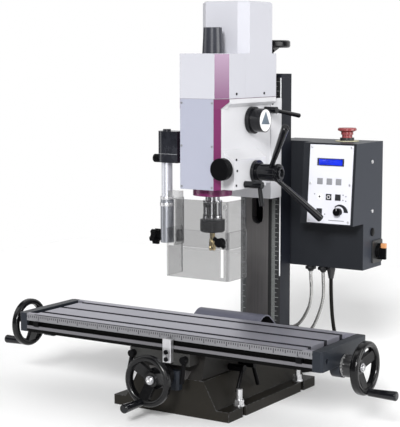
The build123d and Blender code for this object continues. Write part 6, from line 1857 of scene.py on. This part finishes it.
    def crescent(self) -> None:
        """A scale that grows wider round the speed knob."""
        Bench.clear()
        knob = Vector((*self.knob, 0.0))
        edges = []
        for radius, shift in zip(self.scale, (self.scale_shift, ORIGIN)):
            bpy.ops.mesh.primitive_circle_add(vertices=self.scale_sides, radius=radius,
                                              location=knob + Vector(shift))
            edges.append(bpy.context.object)
        mark = Bench.apply(Bench.join("speed_scale", edges))
        with Bench.edit(mark):
            bpy.context.tool_settings.mesh_select_mode = (False, True, False)
            bpy.ops.mesh.select_all(action="SELECT")
            bpy.ops.mesh.bridge_edge_loops()
            for place, way in self.scale_ends:
                bpy.ops.mesh.select_all(action="SELECT")
                bpy.ops.mesh.bisect(plane_co=knob + Vector(place), plane_no=way.value, clear_outer=True)
            bpy.ops.mesh.select_all(action="SELECT")
            Bench.pull(0.0, 0.0, self.scale_sheet)
            bpy.ops.mesh.select_all(action="SELECT")
            bpy.ops.mesh.normals_make_consistent(inside=False)
        self.set(mark, KEY_DARK)


@dataclass
class EndMill:
    """Coated end mill with four twisted flutes.

    Attributes:
        low: Height of the cutting end.
        high: Height where the flutes run out.
        top: Height where the shank ends inside the collet.
        radius: Cutting radius.
        shank: Shank radius.
        sunk: How far the shank reaches into the flutes.
        rim: Width of the rim at the shank's lower end.
        sides: Sides of the cutter and of the shank.
        twist: Turn of the flutes over their length, in degrees.
        steps: Steps that the flutes are drawn up in.
        quarter: Turn from one flute to the next, in degrees.
        flutes: Start and end of each cut as shares of a quarter turn, and the share of the radius it leaves.
    """

    low: float = 0.303
    high: float = 0.326
    top: float = 0.345
    radius: float = 0.007
    shank: float = 0.0055
    sunk: float = 0.001
    rim: float = 0.0006
    sides: tuple[int, int] = (48, 40)
    twist: float = 95.0
    steps: int = 14
    quarter: float = 90.0
    flutes: Places = ((0.04, 0.60, 0.86), (0.12, 0.52, 0.88), (0.20, 0.44, 0.90))

    def share(self, place: Vector) -> float:
        """Where a point lies within its quarter turn round the tool, from 0 to 1."""
        turn = math.atan2(place.y - SPINDLE[1], place.x - SPINDLE[0])
        return (math.degrees(turn) % self.quarter) / self.quarter

    def build(self) -> None:
        """Builds the cutter from a fluted circle that is drawn up with a turn, and its shank."""
        Bench.clear()
        centre = Vector((*SPINDLE, self.low))
        bpy.ops.mesh.primitive_circle_add(vertices=self.sides[0], radius=self.radius, fill_type="NGON",
                                          location=centre)
        cutter = Bench.named("end_mill_flutes")
        for first, last, squeeze in self.flutes:
            with Bench.edit(cutter, points=lambda place: first < self.share(place) < last):
                bpy.ops.transform.resize(value=(squeeze, squeeze, 1.0), center_override=centre)
        rise = (self.high - self.low) / self.steps
        with Bench.edit(cutter):
            for step in range(1, self.steps + 1):
                Bench.pull(0.0, 0.0, rise)
                bpy.ops.transform.rotate(value=math.radians(self.twist / self.steps), orient_axis="Z",
                                         center_override=centre + Vector((0.0, 0.0, rise * step)))
            bpy.ops.mesh.select_all(action="SELECT")
            bpy.ops.mesh.normals_make_consistent(inside=False)
        ends = ((*SPINDLE, self.high - self.sunk), (*SPINDLE, self.top))
        shank = Bench.rod("end_mill_shank", *ends, self.shank, self.sides[1])
        with Bench.edit(shank, lambda c, n: n.z < -FACING):
            bpy.ops.mesh.inset(thickness=self.rim)
        tool = Bench.join("end_mill_cutter", [cutter, shank])
        Bench.done(tool, TOOL_GOLD, Body.TOOL, "coated_tool")
        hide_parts("end_mill")


@dataclass
class Strips:
    """White strip down the column's right front edge, and a dark line of painted shadow under the table's top
    edge.

    Attributes:
        rule: Corners of the column's strip.
        line: Corners of the table's painted shadow line.
        soft: Width of their bevels.
    """

    rule: Places = ((0.0462, 0.17446, 0.227), (0.0488, 0.17462, 0.6475))
    line: Places = ((-0.3095, -0.2091, 0.1680), (0.3095, -0.2089, 0.1694))
    soft: float = 0.00005

    def build(self) -> None:
        """Builds both strips."""
        rule = Bench.soften(Bench.cube("column_rule", *self.rule), self.soft, 1)
        Bench.done(rule, WHITE_STRIP, Body.BASE, "white_panel")
        # A thin dark strip of painted shadow under the table's top edge.
        line = Bench.soften(Bench.cube("table_edge_shadow_line", *self.line), self.soft, 1)
        Bench.done(line, SLOT_DARK, Body.TABLE, "black_steel")


@dataclass
class SwitchMarks:
    """Amber tip of the main switch, and the blind plug above it.

    Attributes:
        tip: Corners of the tip.
        tip_round: Width of the tip's rounded edges.
        plug: Middle of the plug on the box's side.
        plug_radius: Its radius.
        plug_rise: How far it stands out.
        plug_sides: Number of its sides.
        plug_crown: Width and rise of the slope round its top.
        plug_round: Width of its bevel.
    """

    tip: Places = ((0.2316, 0.2832, 0.2880), (0.2426, 0.2908, 0.2984))
    tip_round: float = 0.0008
    plug: Triple = (0.220, 0.265, 0.324)
    plug_radius: float = 0.0088
    plug_rise: float = 0.0016
    plug_sides: int = 36
    plug_crown: Pair = (0.0012, 0.0006)
    plug_round: float = 0.0003

    def build(self) -> None:
        """Builds the tip and the plug."""
        tip = Bench.soften(Bench.cube("switch_tip", *self.tip), self.tip_round, 3)
        Bench.done(tip, SWITCH_AMBER, Body.SWITCH, "red_plastic")
        start = Vector(self.plug)
        end = start + Vector((self.plug_rise, 0.0, 0.0))
        plug = Bench.rod("box_plug", start, end, self.plug_radius, self.plug_sides)
        with Bench.edit(plug, lambda c, n: n.x > FACING):
            Bench.raised(self.plug_crown[0], self.plug_crown[1], 0.0, 0.0)
        Bench.done(Bench.soften(plug, self.plug_round, 2), SATIN_BLACK, Body.BASE, "black_plastic")


# CAD nodes and their finishes


def within(value: float, span: Pair) -> bool:
    """Whether a value lies between two others."""
    return span[0] < value < span[1]


def dress_whole(rows: dict[Surface, Sequence[str]]) -> None:
    """Gives CAD nodes one finish all over.

    Args:
        rows: Node names by finish.
    """
    for finish, nodes in rows.items():
        for node in nodes:
            dress(node, finish)


@dataclass
class Castings:
    """Finishes of the base, column and saddle, and the places where they change.

    Attributes:
        y_way: Half width, back end and foot of the Y way on the base.
        block: Y that the screw's bearing block lies before.
        z_way: Half width of the Z way, and Y that its faces lie before.
        scales: Least X of the column's scales to either side, and Y that they lie before.
        x_way: Foot of the X way on the saddle.
        apron: Y that the saddle's front lies before.
        index: Y that the index block lies before.
        index_screws: Y that the index block's screws lie before.
    """

    y_way: Triple = (0.06, 0.1515, 0.0736)
    block: float = -0.15
    z_way: Pair = (0.05, 0.1744)
    scales: Pair = (0.02, 0.176)
    x_way: float = 0.1318
    apron: float = -0.2
    index: float = -0.205
    index_screws: float = -0.2216

    def build(self) -> None:
        """Dresses each casting."""
        half, back, foot = self.y_way
        dress("base_casting", BASE_PAINT,
              (WAY_IRON, lambda c, n: c.z > foot and abs(c.x) < half and c.y < back))
        dress("base_fittings", ZINC, (BRACKET_PAINT, lambda c, n: c.y < self.block))
        self.column()
        # The saddle's faces other than its front and its ways get the darker copy of its paint: painted shade.
        dress("saddle", SADDLE_SHADE, (WAY_IRON, lambda c, n: c.z > self.x_way),
              (SADDLE_PAINT, lambda c, n: n.y < -FACING and c.y < self.apron))
        dress("saddle_fittings", BRONZE, (SATIN_BLACK, lambda c, n: c.y < self.index_screws),
              (ALUMINIUM, lambda c, n: c.y < self.index))

    def column(self) -> None:
        """Dresses the column and its fittings."""
        half, front = self.z_way
        inner, flat = self.scales
        dress("column", COLUMN_PAINT, (WAY_IRON, lambda c, n: c.y < front and abs(c.x) < half),
              (COLUMN_SCALE, lambda c, n: n.y < -FACING and c.x > inner and c.y < flat),
              (COLUMN_TICKS, lambda c, n: n.y < -FACING and c.x < -inner and c.y < flat))
        dress("column_fittings", COLUMN_PAINT)


@dataclass
class TableGroup:
    """Finishes of the table, its brackets and its stops.

    Attributes:
        half: Half length of the table's slotted top.
        front: Y that the table's front face lies before.
        groove: Heights of the groove along the front.
        rims: Those heights with the groove's edges.
        mouth: Y that the groove's sides lie before.
        floor: Y range of the groove's floor.
        slot_depths: Heights of the tee slots' inner faces.
        slot_span: Y range of the tee slots.
        trough: Height that the end troughs' floors lie under.
        stops: Half length that the travel stops lie within.
    """

    half: float = 0.3095
    front: float = -0.208
    groove: Pair = (0.145, 0.155)
    rims: Pair = (0.1449, 0.1551)
    mouth: float = -0.2015
    floor: Pair = (-0.2025, -0.2013)
    slot_depths: Pair = (0.146, 0.1692)
    slot_span: Pair = (-0.2005, -0.037)
    trough: float = 0.165
    stops: float = 0.32

    def build(self) -> None:
        """Dresses the table's pieces."""
        low, high = self.groove
        dress("table", TABLE_IRON, (GROOVE_BLACK, self.in_groove),
              (TABLE_BAND, lambda c, n: n.y < -FACING and c.z > high and c.y < self.front),
              (SLOT_DARK, self.in_slot),
              (TABLE_LOWER, lambda c, n: c.z < low and abs(n.z) < FACING),
              (COLUMN_PAINT, self.is_painted))
        dress("table_fittings", BRACKET_PAINT, (SATIN_BLACK, lambda c, n: abs(c.x) < self.stops))

    def in_groove(self, middle: Vector, normal: Vector) -> bool:
        """Whether a face belongs to the groove along the table's front."""
        side = middle.y < self.mouth and within(middle.z, self.rims) and normal.y > -FACING
        return side or within(middle.y, self.floor) and within(middle.z, self.groove)

    def in_slot(self, middle: Vector, normal: Vector) -> bool:
        """Whether a face lies inside a tee slot."""
        across = abs(middle.x) < self.half and within(middle.y, self.slot_span)
        return across and within(middle.z, self.slot_depths)

    def is_painted(self, middle: Vector, normal: Vector) -> bool:
        """Whether a face is left as a painted casting."""
        trough = abs(middle.x) > self.half and normal.z > LEANING and middle.z < self.trough
        return normal.z < -LEANING or trough


@dataclass
class Drives:
    """Finishes of the screws, wheels, grips and clamp levers.

    Attributes:
        bolt: Radius round an axle that belongs to its bolt or screw.
        x_bolt: Distance from the middle where the X wheels' bolts start.
        x_dial: Distances from the middle where the X dials start and end.
        y_bolt: Y that the Y wheel's bolt lies before.
        y_dial: Y that the Y dial lies behind.
        z_thread: Height where the Z screw's thread ends.
    """

    bolt: float = 0.0088
    x_bolt: float = 0.3855
    x_dial: Pair = (0.3500, 0.3725)
    y_bolt: float = -0.2395
    y_dial: float = -0.2275
    z_thread: float = 0.674

    def build(self) -> None:
        """Dresses each drive piece."""
        x_axle, y_axle, z_axle = (near_axis(axis, place, self.bolt)
                                  for axis, place in zip(Axis, (X_AXLE, Y_AXLE, Z_AXLE)))
        dress("x_handwheels", WHEEL_BLACK,
              (ZINC, lambda c, n: abs(c.x) > self.x_bolt and x_axle(c)),
              (DIAL_X, lambda c, n: within(c.x, self.x_dial) and abs(n.x) < SIDEWAYS),
              (DIAL_X_LEFT, lambda c, n: within(-c.x, self.x_dial) and abs(n.x) < SIDEWAYS))
        dress("y_handwheel", WHEEL_BLACK,
              (ZINC, lambda c, n: c.y < self.y_bolt and y_axle(c)),
              (DIAL_Y, lambda c, n: c.y > self.y_dial and abs(n.y) < SIDEWAYS))
        dress("z_screw_and_wheel", WHEEL_BLACK,
              (Z_THREAD, lambda c, n: c.z < self.z_thread and z_axle(c)),
              (ZINC, lambda c, n: z_axle(c)))
        dress_whole({X_THREAD: ("x_leadscrew",), Y_THREAD: ("y_leadscrew",),
                     GLOSS_BLACK: ("x_right_grip", "x_left_grip", "y_grip"),
                     SATIN_BLACK: ("x_clamp_left", "x_clamp_right", "y_clamp_front", "y_clamp_rear")})


@dataclass
class HeadGroup:
    """Finishes of the head, its covers, drive, quill and controls.

    Attributes:
        way: Half width of the Z way in the head, and Y that it lies behind.
        facet: Height where the head's slanted front corners start.
        window: Height where the tinted windows start.
        ring: Height that the magenta ring lies under.
        nut: Height that the collet nut lies under.
        shaft: Radius of the bare feed shaft, and X where its hub starts.
    """

    way: Pair = (0.046, 0.155)
    facet: float = 0.57
    window: float = 0.6112
    ring: float = 0.4312
    nut: float = 0.3665
    shaft: Pair = (0.0085, 0.072)

    def build(self) -> None:
        """Dresses each piece of the head."""
        half, front = self.way
        radius, hub = self.shaft
        feed_axle = near_axis(Axis.X, FEED_AXLE, radius)
        # The slanted front corners above facet get the darker copy of the paint: painted shade.
        dress("head_casting", HEAD_PAINT, (WAY_IRON, lambda c, n: c.y > front and abs(c.x) < half),
              (HEAD_FACET_SHADE, lambda c, n: abs(n.x) > SIDEWAYS and n.y < -SIDEWAYS and c.z > self.facet))
        dress("accent_trim", MAGENTA, (WINDOW_PINK, lambda c, n: c.z > self.window),
              (RING_MAGENTA, lambda c, n: c.z < self.ring))
        dress("collet_chuck", CHROME, (BLACKENED, lambda c, n: c.z < self.nut))
        dress("feed_levers", GLOSS_BLACK, (STEEL, lambda c, n: c.x < hub and feed_axle(c)))
        # The drawbar cap wears the black plastic finish with painted sheen.
        dress_whole({PANEL_GREY: ("front_panel",), COVER_PLASTIC: ("belt_cover", "motor_cover"),
                     CAP_SHEEN: ("drawbar_cap",), MOTOR_PAINT: ("motor",),
                     STEEL: ("motor_pulley", "quill", "spindle"), ALUMINIUM: ("spindle_pulley",),
                     RUBBER: ("drive_belt",), BRONZE: ("z_nut",), SATIN_BLACK: ("fine_feed_knob",),
                     GLOSS_BLACK: ("gear_selector", "z_clamp_lever", "quill_clamp_lever")})


@dataclass
class GuardGroup:
    """Finishes of the tool guard.

    Attributes:
        hanger: X where the post's clear hanger starts.
        sleeve: Height that the post's sleeve lies under.
        rear: Y that the shields' rear edges lie behind.
        upright: Least share of X in the normal of the shields' side sheets.
    """

    hanger: float = -0.0701
    sleeve: float = 0.4045
    rear: float = -0.06
    upright: float = 0.95

    def build(self) -> None:
        """Dresses the guard's pieces."""
        dress("guard_post", POST_ALUMINIUM, (HANGER_CLEAR, lambda c, n: c.x > self.hanger),
              (SLEEVE_GREY, lambda c, n: c.z < self.sleeve))
        for shield, sheet in (("upper_shield", SHIELD_CLEAR), ("lower_shield", SHIELD_LAPPED)):
            dress(shield, sheet,
                  (SHIELD_EDGE, lambda c, n: abs(n.z) > FACING or n.y > FACING and c.y > self.rear),
                  (SHIELD_SIDE, lambda c, n: abs(n.x) > self.upright and c.x < 0.0),
                  (SHIELD_FOLD, lambda c, n: SIDEWAYS < abs(n.x) < self.upright))
        dress_whole({MOTTLED_BLACK: ("guard_bracket",),
                     SATIN_BLACK: ("guard_bracket_knob", "star_knob", "wing_knob")})


@dataclass
class BoxGroup:
    """Finishes of the control box, its switches and cable fittings.

    Attributes:
        stop_plate: Lowest and highest Z of the emergency stop's plate.
        stop_front: Y that the plate lies behind.
        switch: X where the main switch's plate starts.
        terminal: Height that the terminal box lies under.
        terminal_side: X of the terminal box's right side.
        pins: X that the plug's pins lie before.
    """

    stop_plate: Pair = (0.513, 0.5156)
    stop_front: float = 0.2
    switch: float = 0.2195
    terminal: float = 0.12
    terminal_side: float = -0.0048
    pins: float = -0.1165

    def build(self) -> None:
        """Dresses the box's pieces."""
        # Forward faces of the box get the darker copy of its coat: painted shade.
        dress("control_box", BOX_PAINT, (BOX_FRONT_SHADE, lambda c, n: n.y < -LEANING))
        dress("control_panel", FOIL_WHITE,
              (PLATE_OLIVE, lambda c, n: within(c.z, self.stop_plate) and c.y > self.stop_front),
              (GLAND_BLACK, lambda c, n: c.z > self.stop_plate[0] or c.x > self.switch))
        dress("cable_fittings", GLAND_BLACK,
              (BOX_GREY, lambda c, n: c.z < self.terminal and c.x < self.terminal_side))
        dress("mains_plug", RUBBER, (ZINC, lambda c, n: c.x < self.pins))
        dress_whole({ESTOP_RED: ("estop_button",),
                     SATIN_BLACK: ("drive_controller", "main_switch_handle", "speed_knob")})


def main() -> None:
    """Builds the scene in order."""
    logging.basicConfig(level=logging.INFO, format="%(message)s")
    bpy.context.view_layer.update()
    for group in (Studio(), MainsLead(), Conduits(), WayCover(), Castings(), TableGroup(), Drives(),
                  HeadGroup(), GuardGroup(), BoxGroup(), Screws(), Rings(), Seams(), SelectorFace(), Keypad(),
                  EndMill(), Strips(), SwitchMarks()):
        group.build()
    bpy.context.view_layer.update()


if __name__ == "__main__":
    main()
